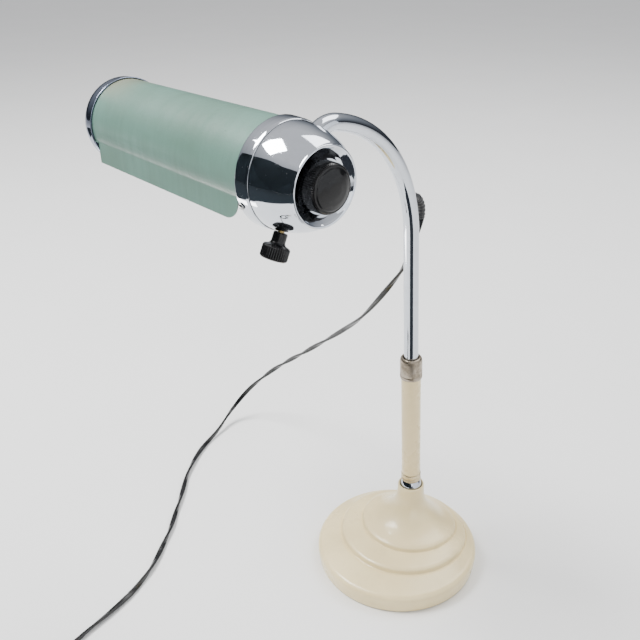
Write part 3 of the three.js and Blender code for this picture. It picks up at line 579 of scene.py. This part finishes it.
class LAMP_OT_stage(bpy.types.Operator):
    """Pale floor, soft studio light and the camera"""

    bl_idname = "lamp.stage"
    bl_label = "Stage"

    def execute(self, context):
        scene = context.scene
        camera = bpy.data.objects.new("camera", bpy.data.cameras.new("camera"))
        camera.data.lens = 45
        camera.data.sensor_width = 36
        right = unit(CAMERA_RIGHT)
        ahead = unit(CAMERA_AHEAD)
        up = np.cross(right, ahead)
        camera.matrix_world = Matrix([
            *([right[k], up[k], -ahead[k], CAMERA_PLACE[k]] for k in range(3)), [0, 0, 0, 1],
        ])
        camera.data.clip_start = 0.01
        scene.collection.objects.link(camera)
        scene.camera = camera

        signs = ((-1, -1), (1, -1), (1, 1), (-1, 1))
        corners = [[x * FLOOR_HALF, y * FLOOR_HALF, -FLOOR_DROP] for x, y in signs]
        data = bpy.data.meshes.new("floor")
        data.from_pydata(corners, [], [[0, 1, 2, 3]])
        floor = bpy.data.objects.new("floor", data)
        scene.collection.objects.link(floor)
        f = Finish("pale floor")
        grain = f.noise(5, 3)
        pale = f.mix(grain, (0.86, 0.86, 0.85, 1), (0.9, 0.9, 0.89, 1))
        data.materials.append(f.finish(pale, 0.75 + grain * 0.1))

        self.lamp(scene, "key", (-0.95, -0.75, 2.1), (0.0, 0.0, 0.2), 0.9, 84)
        self.lamp(scene, "fill", (1.7, -1.0, 1.2), (0.0, 0.0, 0.25), 1.3, 12)
        self.lamp(scene, "top", (0.2, 1.1, 2.0), (0.0, 0.0, 0.2), 1.4, 30)
        self.flag(scene, "dark_flag", [
            [-1.9, -0.35, 0.02], [-0.62, -0.35, 0.02], [-0.35, -0.62, 0.02], [0.28, -0.72, 0.02],
            [0.75, -0.5, 0.02], [1.3, -1.6, 0.02], [-0.6, -2.2, 0.02], [-1.9, -1.3, 0.02],
        ], DARK_PANEL, 0.0)
        self.flag(scene, "dark_wall", [
            [-2.0, -1.3, 0.0], [-0.6, -2.3, 0.0], [1.3, -1.7, 0.0], [1.3, -1.7, 1.5], [-0.6, -2.3, 1.7],
            [-2.0, -1.3, 1.5],
        ], DARK_PANEL, 0.0)
        self.flag(scene, "dark_strip", [
            [0.239, -0.075, 0.015], [0.067, -0.241, 0.015], [0.358, -0.975, 0.015], [0.962, -0.393, 0.015],
        ], DARKER_PANEL, 0.0)
        self.flag(scene, "pale_panel", [[1.5, -0.9, 0.0], [1.9, 2.2, 0.0], [1.9, 2.2, 1.6], [1.5, -0.9, 1.6]],
                  (0.7, 0.72, 0.75, 1), 0.95)
        self.flag(scene, "low_strip", [[-0.85, -0.2, 0.03], [-0.42, -0.46, 0.03], [-0.36, -0.38, 0.03],
                                       [-0.79, -0.1, 0.03]], (1, 0.97, 0.92, 1), 7.0)
        self.sky(scene)
        return {"FINISHED"}

    @staticmethod
    def lamp(scene, name, place, target, size, power):
        """Square soft light aimed at a point."""
        light = bpy.data.lights.new(name, "AREA")
        light.size = size
        light.energy = power
        holder = bpy.data.objects.new(name, light)
        back = unit(np.subtract(place, target))
        side = unit(np.cross([0, 0, 1], back))
        up = np.cross(back, side)
        holder.matrix_world = Matrix([
            *([side[k], up[k], back[k], place[k]] for k in range(3)), [0, 0, 0, 1],
        ])
        scene.collection.objects.link(holder)

    @staticmethod
    def flag(scene, name, corners, colour, glow):
        """Panel that only mirrors see: it gives polished metal something dark or pale to reflect."""
        data = bpy.data.meshes.new(name)
        data.from_pydata(corners, [], [list(range(len(corners)))])
        data.materials.append(Finish(name, Base_Color=colour, Roughness=1.0, Emission_Color=colour,
                                     Emission_Strength=glow).material)
        panel = bpy.data.objects.new(name, data)
        panel.visible_camera = panel.visible_diffuse = panel.visible_shadow = False
        panel.visible_transmission = False
        scene.collection.objects.link(panel)

    @staticmethod
    def sky(scene):
        """Pale surroundings that are darker near the horizon, so polished metal shows contrast."""
        world = bpy.data.worlds.new("studio")
        scene.world = world
        world.use_nodes = True
        tree = world.node_tree
        nodes, link = tree.nodes, tree.links.new
        backdrop = nodes["Background"]
        backdrop.inputs["Strength"].default_value = 1.0
        place = nodes.new("ShaderNodeTexCoord")
        split = nodes.new("ShaderNodeSeparateXYZ")
        link(place.outputs["Generated"], split.inputs[0])
        ramp = nodes.new("ShaderNodeValToRGB")
        ramp.color_ramp.elements[0].position = 0.06
        ramp.color_ramp.elements[0].color = (0.05, 0.055, 0.065, 1)
        ramp.color_ramp.elements[1].position = 0.75
        ramp.color_ramp.elements[1].color = (0.95, 0.95, 0.97, 1)
        middle = ramp.color_ramp.elements.new(0.3)
        middle.color = (0.28, 0.3, 0.33, 1)
        link(split.outputs[2], ramp.inputs[0])
        rays = nodes.new("ShaderNodeLightPath")
        seen = nodes.new("ShaderNodeMix")
        seen.data_type = "RGBA"
        link(rays.outputs["Is Camera Ray"], seen.inputs[0])
        link(ramp.outputs[0], seen.inputs[6])
        seen.inputs[7].default_value = (0.92, 0.92, 0.91, 1)
        link(seen.outputs[2], backdrop.inputs["Color"])


# ---------------------------------------------------------------- flex
RELIEF_ROUTE = [[-2.4, 13.6, 363], [-2.3, 18.6, 355], [-2.9, 20, 345]]
UPPER_ROUTE = [
    [-2.9, 20, 345], [-5.6, 20.2, 334], [-12, 22.6, 319], [-28.4, 31.6, 289], [-55.9, 34.2, 250],
    [-83, 38.9, 218], [-116.3, 51.3, 188], [-147.5, 58.5, 161.5],
]
MAIN_ROUTE = [
    [-147.5, 58.5, 161.5], [-179.3, 63.7, 135], [-245, 69, 80], [-282.3, 60.3, 40], [-292.5, 40.1, 16],
    [-284.6, 10.1, 5], [-271.5, -27.2, 2.7], [-251.8, -59.9, 2.7], [-229.1, -86.6, 2.7], [-208.2, -111, 2.7],
    [-188.7, -135, 2.7], [-172, -158.9, 2.7], [-158.2, -182.2, 2.7], [-148.1, -207.1, 2.7],
    [-142.6, -234.3, 2.7], [-139.2, -261.9, 2.7], [-136.8, -275.1, 2.7], [-133.4, -296, 2.7],
    [-132.6, -312, 2.7],
]
COIL_CENTRE = np.array([-102, -312, 0])
TAIL_ROUTE = [[-92, -340.4, 12.6], [-80, -342, 9.4], [-69, -343, 6.8]]
PLUG_AT = np.array([-68.6, -343.1, 6.7])
ALL_TURNS = 5.25
CORD_STEP = 0.0012


def squarish(values, power):
    """Cosines or sines drawn towards -1 and 1, which makes a circle into a rounded rectangle."""
    return np.sign(values) * np.abs(values) ** power


def twin_section(a):
    """Flat twin flex: the outline of two touching round cores, as radius by angle, 1 at its widest."""
    gap, core = 0.46, 0.54
    lobes = gap * np.abs(np.cos(a)) + np.sqrt(np.maximum(core ** 2 - (gap * np.sin(a)) ** 2, 0))
    return np.maximum(lobes, 0.5)


def coil_path(turns):
    """Coil by turns: the angle runs on evenly while radius and height step from one layer to the next."""
    u = np.linspace(ALL_TURNS - turns, ALL_TURNS, int(turns * 40) + 1)
    radius = np.interp(u, [0, 0.85, 1.1, 2.85, 3.1, 4.85, 5.1, ALL_TURNS],
                       [30.6, 30.6, 25.4, 25.4, 30.6, 30.6, 28, 28])
    height = np.interp(u, [0, 1.85, 2.05, 3.85, 4.05, ALL_TURNS], [2.7, 2.7, 7.9, 7.9, 12.9, 12.9])
    angle = math.pi + 2 * math.pi * u
    return COIL_CENTRE + np.stack([radius * np.cos(angle), radius * np.sin(angle), height], -1)


class LAMP_OT_flex(bpy.types.Operator):
    """Twin flex from the arm over the table to a tied coil, with its strain relief"""

    bl_idname = "lamp.flex"
    bl_label = "Flex"

    def execute(self, context):
        sizes = context.scene.lamp_sizes
        half = sizes.cord_width / 2
        exit_low, exit_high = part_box("strain_relief")
        start = np.array([
            (exit_low[0] + exit_high[0]) / 2 + 0.0008, exit_low[1] + 0.0008, exit_high[2] - 0.0036,
        ])
        relief_path = curve_through([start] + [np.array(p) * MM for p in RELIEF_ROUTE], 0.0005)
        t = np.linspace(0, 1, len(relief_path))
        ribs = 0.00022 * np.cos(2 * math.pi * t * 8) * (t > 0.15) * (t < 0.95)
        radius = 0.0035 - 0.0006 * t + ribs
        radius[0], radius[-1] = 0.003, 0.0026
        settle(carried("strain_relief_boot", relief_path, radius, 40), "strain_relief", "arm",
               "relief")

        upper_path = curve_through(np.array(UPPER_ROUTE) * MM, CORD_STEP)
        upper = self.flex("flex_upper", upper_path, half, sizes.cord_pitch, 0)
        upper.data.materials.append(look("flex"))
        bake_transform(upper)
        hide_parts("cord_upper")

        route = np.vstack([np.array(MAIN_ROUTE)[:-1], coil_path(sizes.coil_turns)[::3], TAIL_ROUTE]) * MM
        main_path = curve_through(route, CORD_STEP)
        main = self.flex("flex_main", main_path, half, sizes.cord_pitch, path_length(upper_path))
        main.data.materials.append(look("flex"))
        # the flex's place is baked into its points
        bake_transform(main)
        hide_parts("cord_main", "cord_coil", "cord_tail")
        self.tie()
        plug = self.plug()
        blades = [self.blade(1), self.blade(-1)]
        return {"FINISHED"}

    @staticmethod
    def flex(name, path, half, pitch, start):
        """Twin section carried along the path, turning once in each pitch."""
        along = start + np.concatenate([[0], np.cumsum(np.linalg.norm(np.diff(path, axis=0), axis=1))])
        twist = 2 * math.pi * along / pitch + 1.1 * np.sin(along * 19)
        return carried(name, path, half, 24, twist=twist, section=twin_section, sharp=50)

    @staticmethod
    def tie():
        """Flat rubber band round the turns: a rounded rectangle carried round the bundle's section."""
        low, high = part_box("coil_tie")
        middle = (np.array(low) + np.array(high)) / 2
        a = np.linspace(0, 2 * math.pi, 64, endpoint=False)
        reach = np.array([(high[0] - low[0]) / 2, (high[2] - low[2]) / 2])
        box = squarish(np.stack([np.cos(a), np.sin(a)], -1), 0.55)
        across = rounded([[0, -0.003], [0.0011, -0.003], [0.0011, 0.003], [0, 0.003]], 0.0004, 3, True)
        inset = across[:, 0][None, :, None]
        flat = (reach[None, None] - inset) * box[:, None]
        y = np.broadcast_to(across[:, 1][None], flat.shape[:2])
        rings = np.stack([middle[0] + flat[..., 0], middle[1] + y, middle[2] + flat[..., 1]], -1)
        settle(ring_skin("coil_band", rings, True), "coil_tie", "base", "relief")

    @staticmethod
    def plug():
        """Plug body: rounded sections along X whose half sizes grow from a waist at the flex to the face."""
        x = np.array([0, 1, 3, 5, 6.2, 7.4, 10, 14, 18, 22, 24.6, 25.7, 26])
        wide = np.array([2.9, 3.6, 4.0, 4.1, 4.3, 5.2, 7.6, 9.6, 10.5, 10.6, 10.4, 9.9, 9.2])
        tall = np.array([2.6, 3.2, 3.6, 3.7, 3.9, 4.5, 5.6, 6.2, 6.4, 6.4, 6.2, 5.8, 5.2])
        dense = np.linspace(0, 26, 66)
        wide, tall = np.interp(dense, x, wide), np.interp(dense, x, tall)
        ribs = 0.25 * np.cos(dense * math.pi) * (dense > 11) * (dense < 23)
        a = np.linspace(0, 2 * math.pi, 72, endpoint=False)
        shape = squarish(np.stack([np.cos(a), np.sin(a)]), 0.6)
        y = (wide + ribs)[:, None] * shape[0]
        z = tall[:, None] * shape[1]
        rings = np.stack([np.broadcast_to(dense[:, None], y.shape), y, z], -1) + PLUG_AT
        return settle(ring_skin("plug", rings * MM), "plug_body", "base", "black plug")

    @staticmethod
    def blade(side):
        """Flat blade: a rounded rectangle carried along X, narrowing at its tip."""
        node = "plug_blade_1" if side > 0 else "plug_blade_2"
        low, high = (np.array(v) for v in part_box(node))
        x = np.array([0.0, 0.06, 0.85, 0.93, 0.98, 1.0])[:, None]
        thin = np.array([1.0, 1.0, 1.0, 0.9, 0.7, 0.5])[:, None]
        a = np.linspace(0, 2 * math.pi, 40, endpoint=False)[None]
        reach = (high - low) / 2
        middle = (high + low) / 2
        y = middle[1] + reach[1] * thin * squarish(np.cos(a), 0.25)
        z = middle[2] + reach[2] * thin ** 0.6 * squarish(np.sin(a), 0.25)
        rings = np.stack([np.broadcast_to(low[0] + x * (high[0] - low[0]), y.shape), y, z], -1)
        return settle(ring_skin(node + "_brass", rings), node, "base", "brass")


# ---------------------------------------------------------------- base
class LAMP_OT_base(bpy.types.Operator):
    """Enamelled base: three eccentric steps that sweep up into the neck and run out towards the back"""

    bl_idname = "lamp.base"
    bl_label = "Base"

    def execute(self, context):
        # rows of [centre's y, radius, z, how far the back sinks]
        neck = BALL[1] / MM
        outside = [
            [0, 73.4, 0.2, 0], [0, 75.2, 0.4, 0], [0, 76.7, 10.5, 0], [0, 76.4, 15.4, 0],
            [0.5, 73.9, 17.8, 0.4], [1.4, 71.4, 18.6, 0.7], [9.7, 62.3, 23.1, 3.5],
            [10.4, 61, 22.6, 3.7], [10.7, 60.2, 23.2, 3.9], [10.8, 59.8, 26.9, 5],
            [11.4, 57.6, 28.4, 5.4], [18.4, 47.2, 30.2, 6], [18.9, 46.2, 29.7, 6.1], [19.1, 45.6, 30.3, 6.2],
            [19.3, 45.2, 33.4, 6.8], [neck, 42.8, 34.9, 6.8],
        ]
        soft = [0.6, 0.8, 5, 2.4, 2, 2.2, 1.2, 0.8, 0.7, 1.5, 1.8, 1.2, 0.7, 0.7, 1.4, 1.8]
        sweep = [[42.8, 34.9, 6.8], [34, 38.2, 5], [26, 43, 2.8], [19.5, 49, 1], [15.3, 55.5, 0.2],
                 [13.3, 62, 0], [12.7, 69, 0], [12.6, 73, 0]]
        slope = curve_through([[sink, r, z] for r, z, sink in sweep], 1.2)
        slope = np.stack([
            np.full(len(slope), neck), slope[:, 1], slope[:, 2], np.maximum(slope[:, 0], 0),
        ], -1)
        lip = [[neck, 12.6, 73.4, 0], [neck, 12.3, 75.2, 0], [neck, 11.3, 75.9, 0], [neck, 10.7, 75.4, 0],
               [neck, 10.6, 66, 0]]
        inside = [
            [neck, 10.6, 43, 0], [neck, 14, 40.5, 0.8], [neck, 24, 37.6, 3], [neck, 32, 34.9, 5.2],
            [19.4, 41.4, 32, 7], [18.5, 44, 28, 6.4], [11.5, 55.5, 25, 5.8], [11, 57.6, 21.4, 4.8],
            [1.5, 69.5, 15.4, 1.6], [0, 73.2, 12.5, 0.4], [0, 73.9, 10, 0], [0, 73, 0.4, 0],
        ]
        rows = np.vstack([
            rounded(outside, soft, 6), slope[1:], rounded(lip, 0.8, 4), rounded(inside, 1.0, 3),
        ])
        a = np.linspace(0, 2 * math.pi, 192, endpoint=False)
        back = np.clip((np.sin(a) + 0.2) / 1.2, 0, 1)
        back = back * back * (3 - 2 * back)
        rings = np.stack([
            rows[:, 1, None] * np.cos(a), rows[:, 0, None] + rows[:, 1, None] * np.sin(a),
            rows[:, 2, None] - rows[:, 3, None] * back,
        ], -1) * MM
        settle(ring_skin("base_cover", rings, True), "base_shell", "base", "cream")
        return {"FINISHED"}


# ---------------------------------------------------------------- stem
class LAMP_OT_stem(bpy.types.Operator):
    """Ball, worn collar, enamelled tube and the ferrule that grips the arm"""

    bl_idname = "lamp.stem"
    bl_label = "Stem"

    def execute(self, context):
        a = np.linspace(-90, 67, 40) * DEG
        ball = np.stack([10.2 * np.cos(a), 10.2 * np.sin(a)], -1)
        stud = np.vstack([[[0, -10.2]], ball[1:], [[4, 10], [4, 24], [0, 24]]])
        # the ball's finish carries a painted dark reflection
        settle(turned("ball", stud, BALL, STEM_AXIS), "ball_stud", "stem", "ball chrome with painted dark reflection")
        collar = rounded([
            [4.3, 9.9], [7.2, 7.7], [8.6, 8.0], [9.25, 9.4], [9.25, 10.9], [8.85, 11.3], [8.85, 11.9],
            [9.25, 12.3], [9.25, 15.4], [8.8, 16.3], [4.3, 16.3],
        ], 0.35, 3, True)
        settle(turned("collar", collar, BALL, STEM_AXIS), "stem_collar", "stem", "collar")
        tube = rounded([[7.9, 16.6], [8.7, 16.6], [8.75, 17.4], [8.75, 60], [8.75, 100], [8.75, 139.6],
                        [7.9, 140]], 0.3, 3, True)
        settle(turned("stem_cover", tube, BALL, STEM_AXIS), "stem_tube", "stem", "stem cream")
        ferrule = rounded([
            [9.05, 124.4], [9.7, 124.4], [9.9, 125.4], [9.9, 127.2], [9.6, 127.7], [9.6, 128.3], [9.9, 128.8],
            [9.9, 140.6], [9.5, 143.6], [8.5, 145.1], [7.2, 145.4], [6.7, 144.6], [7.1, 143.2], [9.05, 141.4],
        ], 0.4, 3, True)
        settle(turned("ferrule_cover", ferrule, BALL, STEM_AXIS), "ferrule", "stem", "ferrule")
        return {"FINISHED"}


# ---------------------------------------------------------------- arm
def arm_path():
    """Centreline of the arm: straight, a round bend of 76 degrees, then a short curve into the housing."""
    bend, top, sweep = 114.75, 262.4, 76 * DEG
    z = np.linspace(60, top, 60)
    straight = np.stack([0 * z, 0 * z, z], -1)
    a = np.linspace(0, sweep, 72)
    round_part = np.stack([0 * a, -bend * (1 - np.cos(a)), top + bend * np.sin(a)], -1)
    entry = round_part[-1]
    control = entry + 17 * np.array([0, -math.sin(sweep), math.cos(sweep)])
    end_world = HEAD + (HEAD_BACK * 4 + HEAD_UP * 17 + HEAD_AXIS * 20.5) * MM
    end = ARM_TURN.T @ (end_world - BALL) / MM
    t = np.linspace(0, 1, 24)[:, None]
    last = (1 - t) ** 2 * entry + 2 * t * (1 - t) * control + t ** 2 * end
    path = np.vstack([straight, round_part[1:], last[1:]]) * MM
    return BALL + path @ ARM_TURN.T


class LAMP_OT_arm(bpy.types.Operator):
    """Chrome tube that turns in the stem and bends over to the housing"""

    bl_idname = "lamp.arm"
    bl_label = "Arm"

    def execute(self, context):
        path = arm_path()
        settle(carried("arm_tube_cover", path, 0.00635, 64, guide=ARM_TURN @ np.array([1.0, 0, 0])),
               "arm_tube", "arm", "arm chrome")
        return {"FINISHED"}


# ---------------------------------------------------------------- housing
class LAMP_OT_housing(bpy.types.Operator):
    """Drum housing with its dished end, and the black switch knob under it"""

    bl_idname = "lamp.housing"
    bl_label = "Housing"

    def execute(self, context):
        q = np.linspace(0, 1, 30)
        wall = np.stack([37.2 - 9.6 * (0.62 * q ** 1.5 + 0.38 * q ** 3), 13.2 + 31.3 * q], -1)
        rim = [wall[-1], [27.5, 45.4], [26.7, 46], [25.7, 45.6], [24.6, 44.6], [21, 42], [18.3, 40.7],
               [12, 40.4], [3.4, 40.4], [3.4, 39.6], [18, 39.6], [20.8, 40.9], [23.8, 43], [25, 44]]
        shape = np.vstack([wall[:-1], rounded(rim, 0.9, 5), wall[::-1] - [0.9, 0]])
        settle(turned("housing_shell", shape, HEAD, HEAD_AXIS, 160), "housing_cup", "arm",
               "housing chrome")
        top = 36.5
        knob = rounded([
            [0, top + 20.3], [5.5, top + 20.4], [8.6, top + 19.9], [9.7, top + 18.7], [9.7, top + 11.4],
            [8.9, top + 10.2], [5.9, top + 9.2], [5, top + 7.6], [5, top + 1.6], [4.4, top + 0.9],
            [2.6, top + 0.9], [2.6, top + 7.5], [0, top + 7.5],
        ], 0.6, 4)
        teeth = context.scene.lamp_sizes.switch_teeth
        settle(turned("switch_knob_cover", knob, SWITCH_AT, SWITCH_AXIS, teeth * 6, teeth, 0.55,
                      lambda r, s: r > 9.3, 60),
               "switch_knob", "switch", "black switch")
        return {"FINISHED"}


class LAMP_OT_knob(bpy.types.Operator):
    """Serrated black end knob with a low domed face"""

    bl_idname = "lamp.knob"
    bl_label = "End knob"

    def execute(self, context):
        profile = rounded([
            [0, 54.9], [5, 54.7], [10.4, 53.9], [13.6, 52.9], [14.4, 52.2], [15.4, 52.3], [16.4, 51.4],
            [17, 49.8], [17, 41.6], [16.4, 40.8], [3.35, 40.8], [3.35, 46], [0, 46],
        ], 0.7, 5)
        teeth = context.scene.lamp_sizes.knob_teeth
        settle(turned("end_knob_cover", profile, HEAD, HEAD_AXIS, teeth * 6, teeth, 0.7,
                      lambda r, s: r > 16.2 and s > 39, 60),
               "end_knob", "clamp_knob", "black knob")
        return {"FINISHED"}


# ---------------------------------------------------------------- shade
CREASE = 106 * DEG
SHEET_BACK = -100 * DEG


class LAMP_OT_shade(bpy.types.Operator):
    """Half-tube shade: an arc over the top to the crease, then a flap with a rounded corner"""

    bl_idname = "lamp.shade"
    bl_label = "Shade"

    def execute(self, context):
        sizes = context.scene.lamp_sizes
        near, far = 5.8, -197.2
        s = np.unique(np.concatenate([
            np.linspace(near, far, 140), np.linspace(-1.2, -17, 40), np.linspace(-191, -192.4, 8),
        ]))[::-1]
        radius = 36.6 + (34.8 - 36.6) * (near - s) / 203
        a = np.linspace(SHEET_BACK, CREASE, 110)
        flap = sizes.flap / MM
        corner = 15
        drop = np.where(s > -1.6, 0.5, flap)
        bend = (s <= -1.6) & (s > -1.6 - corner)
        drop[bend] = flap - corner + np.sqrt(np.maximum(corner ** 2 - (s[bend] + 1.6 + corner) ** 2, 0))
        drop = np.where(s < -191.5, 0.5, drop)
        hang = np.linspace(0, 1, 14)[1:]
        # x runs to the back and y up in the section; inner is the same line moved in by the sheet.
        arcs = np.stack([-np.sin(a), np.cos(a)], -1)
        sheet = sizes.sheet / MM
        outer = radius[:, None, None] * arcs
        inner = (radius[:, None, None] - sheet) * arcs
        down = np.zeros((len(s), len(hang), 2))
        down[..., 0] = outer[:, -1, None, 0] - 0.5 * hang
        down[..., 1] = outer[:, -1, None, 1] - drop[:, None] * hang
        outer = np.concatenate([outer, down], 1)
        inner = np.concatenate([inner, down + [sheet, 0]], 1)

        def world(grid):
            """Places a grid of section points along the shade."""
            along = np.broadcast_to(s[:, None, None] * HEAD_AXIS, grid.shape[:2] + (3,))
            return HEAD + (grid[..., :1] * HEAD_BACK + grid[..., 1:] * HEAD_UP + along) * MM

        settle(two_sided("shade_sheet", world(outer), world(inner), 50), "shade_shell", "shade",
               "green")
        return {"FINISHED"}


class LAMP_OT_band(bpy.types.Operator):
    """Chrome band that holds the shade, its screws and the domed far cap"""

    bl_idname = "lamp.band"
    bl_label = "Band and cap"

    def execute(self, context):
        band = rounded([
            [37.1, 0], [38.1, -0.1], [38.6, 0.6], [38.6, 2.2], [38.5, 6], [38.2, 10.4], [37.7, 12.2],
            [37.3, 12.6], [36.8, 12.5], [37, 9],
        ], 0.5, 4, True)
        settle(turned("band_cover", band, HEAD, HEAD_AXIS, 160), "band_ring", "shade",
               "band chrome")
        lip, crown, radius = -203, 20, 35.9
        a = np.linspace(90, 0, 34) * DEG
        fuller = np.maximum(np.cos(a), 0) ** 0.72
        outside = np.stack([radius * fuller, lip - crown * np.sin(a)], -1)
        outside[0, 0] = 0
        inside = np.stack([(radius - 0.8) * fuller[::-1], lip - (crown - 0.8) * np.sin(a[::-1])], -1)
        inside[-1, 0] = 0
        edge = rounded([
            outside[-1], [radius, -202], [radius, -198.6], [radius + 0.5, -198], [radius + 0.4, -197.1],
            [radius - 0.5, -197], [radius - 0.8, -198.4], inside[0],
        ], 0.4, 4)
        cap = np.vstack([outside[:-1], edge, inside[1:]])
        # the cap's finish carries a painted dark reflection
        settle(turned("cap_cover", cap, HEAD, HEAD_AXIS, 128), "far_cap", "shade", "cap chrome with painted dark reflection")
        for index, degrees in enumerate((112, -92)):
            outward = -math.sin(degrees * DEG) * HEAD_BACK + math.cos(degrees * DEG) * HEAD_UP
            head = rounded([
                [0, 40.5], [1.5, 40.3], [2.5, 39.6], [2.7, 38.9], [1.35, 38.9], [1.35, 33.4], [0, 33.4],
            ], 0.3, 3)
            node = f"band_screw_{index + 1}"
            settle(turned(node + "_cover", head, HEAD + HEAD_AXIS * SCREWS_ALONG, outward, 40), node,
                   "shade", "screw steel")
        return {"FINISHED"}


class LAMP_OT_bulb(bpy.types.Operator):
    """Frosted bulb in its cap and porcelain lampholder"""

    bl_idname = "lamp.bulb"
    bl_label = "Bulb"

    def execute(self, context):
        a = np.linspace(0, -90, 16) * DEG
        tip = np.stack([14.5 * np.cos(a), -150 + 14.5 * np.sin(a)], -1)
        tip[-1, 0] = 0
        side = rounded([[12, -21.6], [13.4, -25], [14.5, -29], [14.5, -60], [14.5, -149]], 2, 5)
        glass = np.vstack([[[0, -21.4], [11.6, -21.4]], side, tip])
        settle(turned("bulb_cover", glass, HEAD, HEAD_AXIS), "bulb_glass", "arm", "bulb")
        thread = np.linspace(-19, 0, 60)
        ridge = np.stack([12.25 + 0.35 * np.cos(thread * 2 * math.pi / 3.6), thread], -1)
        cap = np.vstack([[[0, -21]], [[12.2, -21]], ridge, [[8, 5.2], [0, 5.2]]])
        settle(turned("bulb_cap_cover", cap, HEAD, HEAD_AXIS), "bulb_cap", "arm", "brass")
        socket = rounded([
            [0, 9], [17, 9], [17, -8], [16.2, -9], [16.2, -11], [17, -12], [17, -20], [13.3, -20], [13.3, 6],
            [0, 6],
        ], 0.8, 4)
        settle(turned("socket_cover", socket, HEAD, HEAD_AXIS), "lamp_socket", "arm",
               "porcelain")
        return {"FINISHED"}


# ---------------------------------------------------------------- panel and registration
OPERATORS = (
    LAMP_OT_finishes, LAMP_OT_stage, LAMP_OT_flex, LAMP_OT_base, LAMP_OT_stem, LAMP_OT_arm, LAMP_OT_housing,
    LAMP_OT_knob, LAMP_OT_shade, LAMP_OT_band, LAMP_OT_bulb,
)


class LAMP_PT_panel(bpy.types.Panel):
    """Lists the lamp's pieces, sizes and colours"""

    bl_idname = "LAMP_PT_panel"
    bl_label = "Desk lamp"
    bl_space_type = "VIEW_3D"
    bl_region_type = "UI"
    bl_category = "Lamp"

    def draw(self, context):
        for group in (context.scene.lamp_sizes, context.scene.lamp_colours):
            for name in group.__annotations__:
                self.layout.prop(group, name)
        for operator in OPERATORS:
            self.layout.operator(operator.bl_idname)


CLASSES = (LampSizes, LampColours, *OPERATORS, LAMP_PT_panel)


def register():
    """Registers the classes and their settings."""
    for item in CLASSES:
        bpy.utils.register_class(item)
    bpy.types.Scene.lamp_sizes = bpy.props.PointerProperty(type=LampSizes)
    bpy.types.Scene.lamp_colours = bpy.props.PointerProperty(type=LampColours)


def unregister():
    """Removes the settings and classes."""
    del bpy.types.Scene.lamp_colours
    del bpy.types.Scene.lamp_sizes
    for item in reversed(CLASSES):
        bpy.utils.unregister_class(item)


def main():
    """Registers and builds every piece."""
    register()
    for operator in OPERATORS:
        group, name = operator.bl_idname.split(".")
        getattr(getattr(bpy.ops, group), name)()
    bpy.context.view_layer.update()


if __name__ == "__main__":
    main()
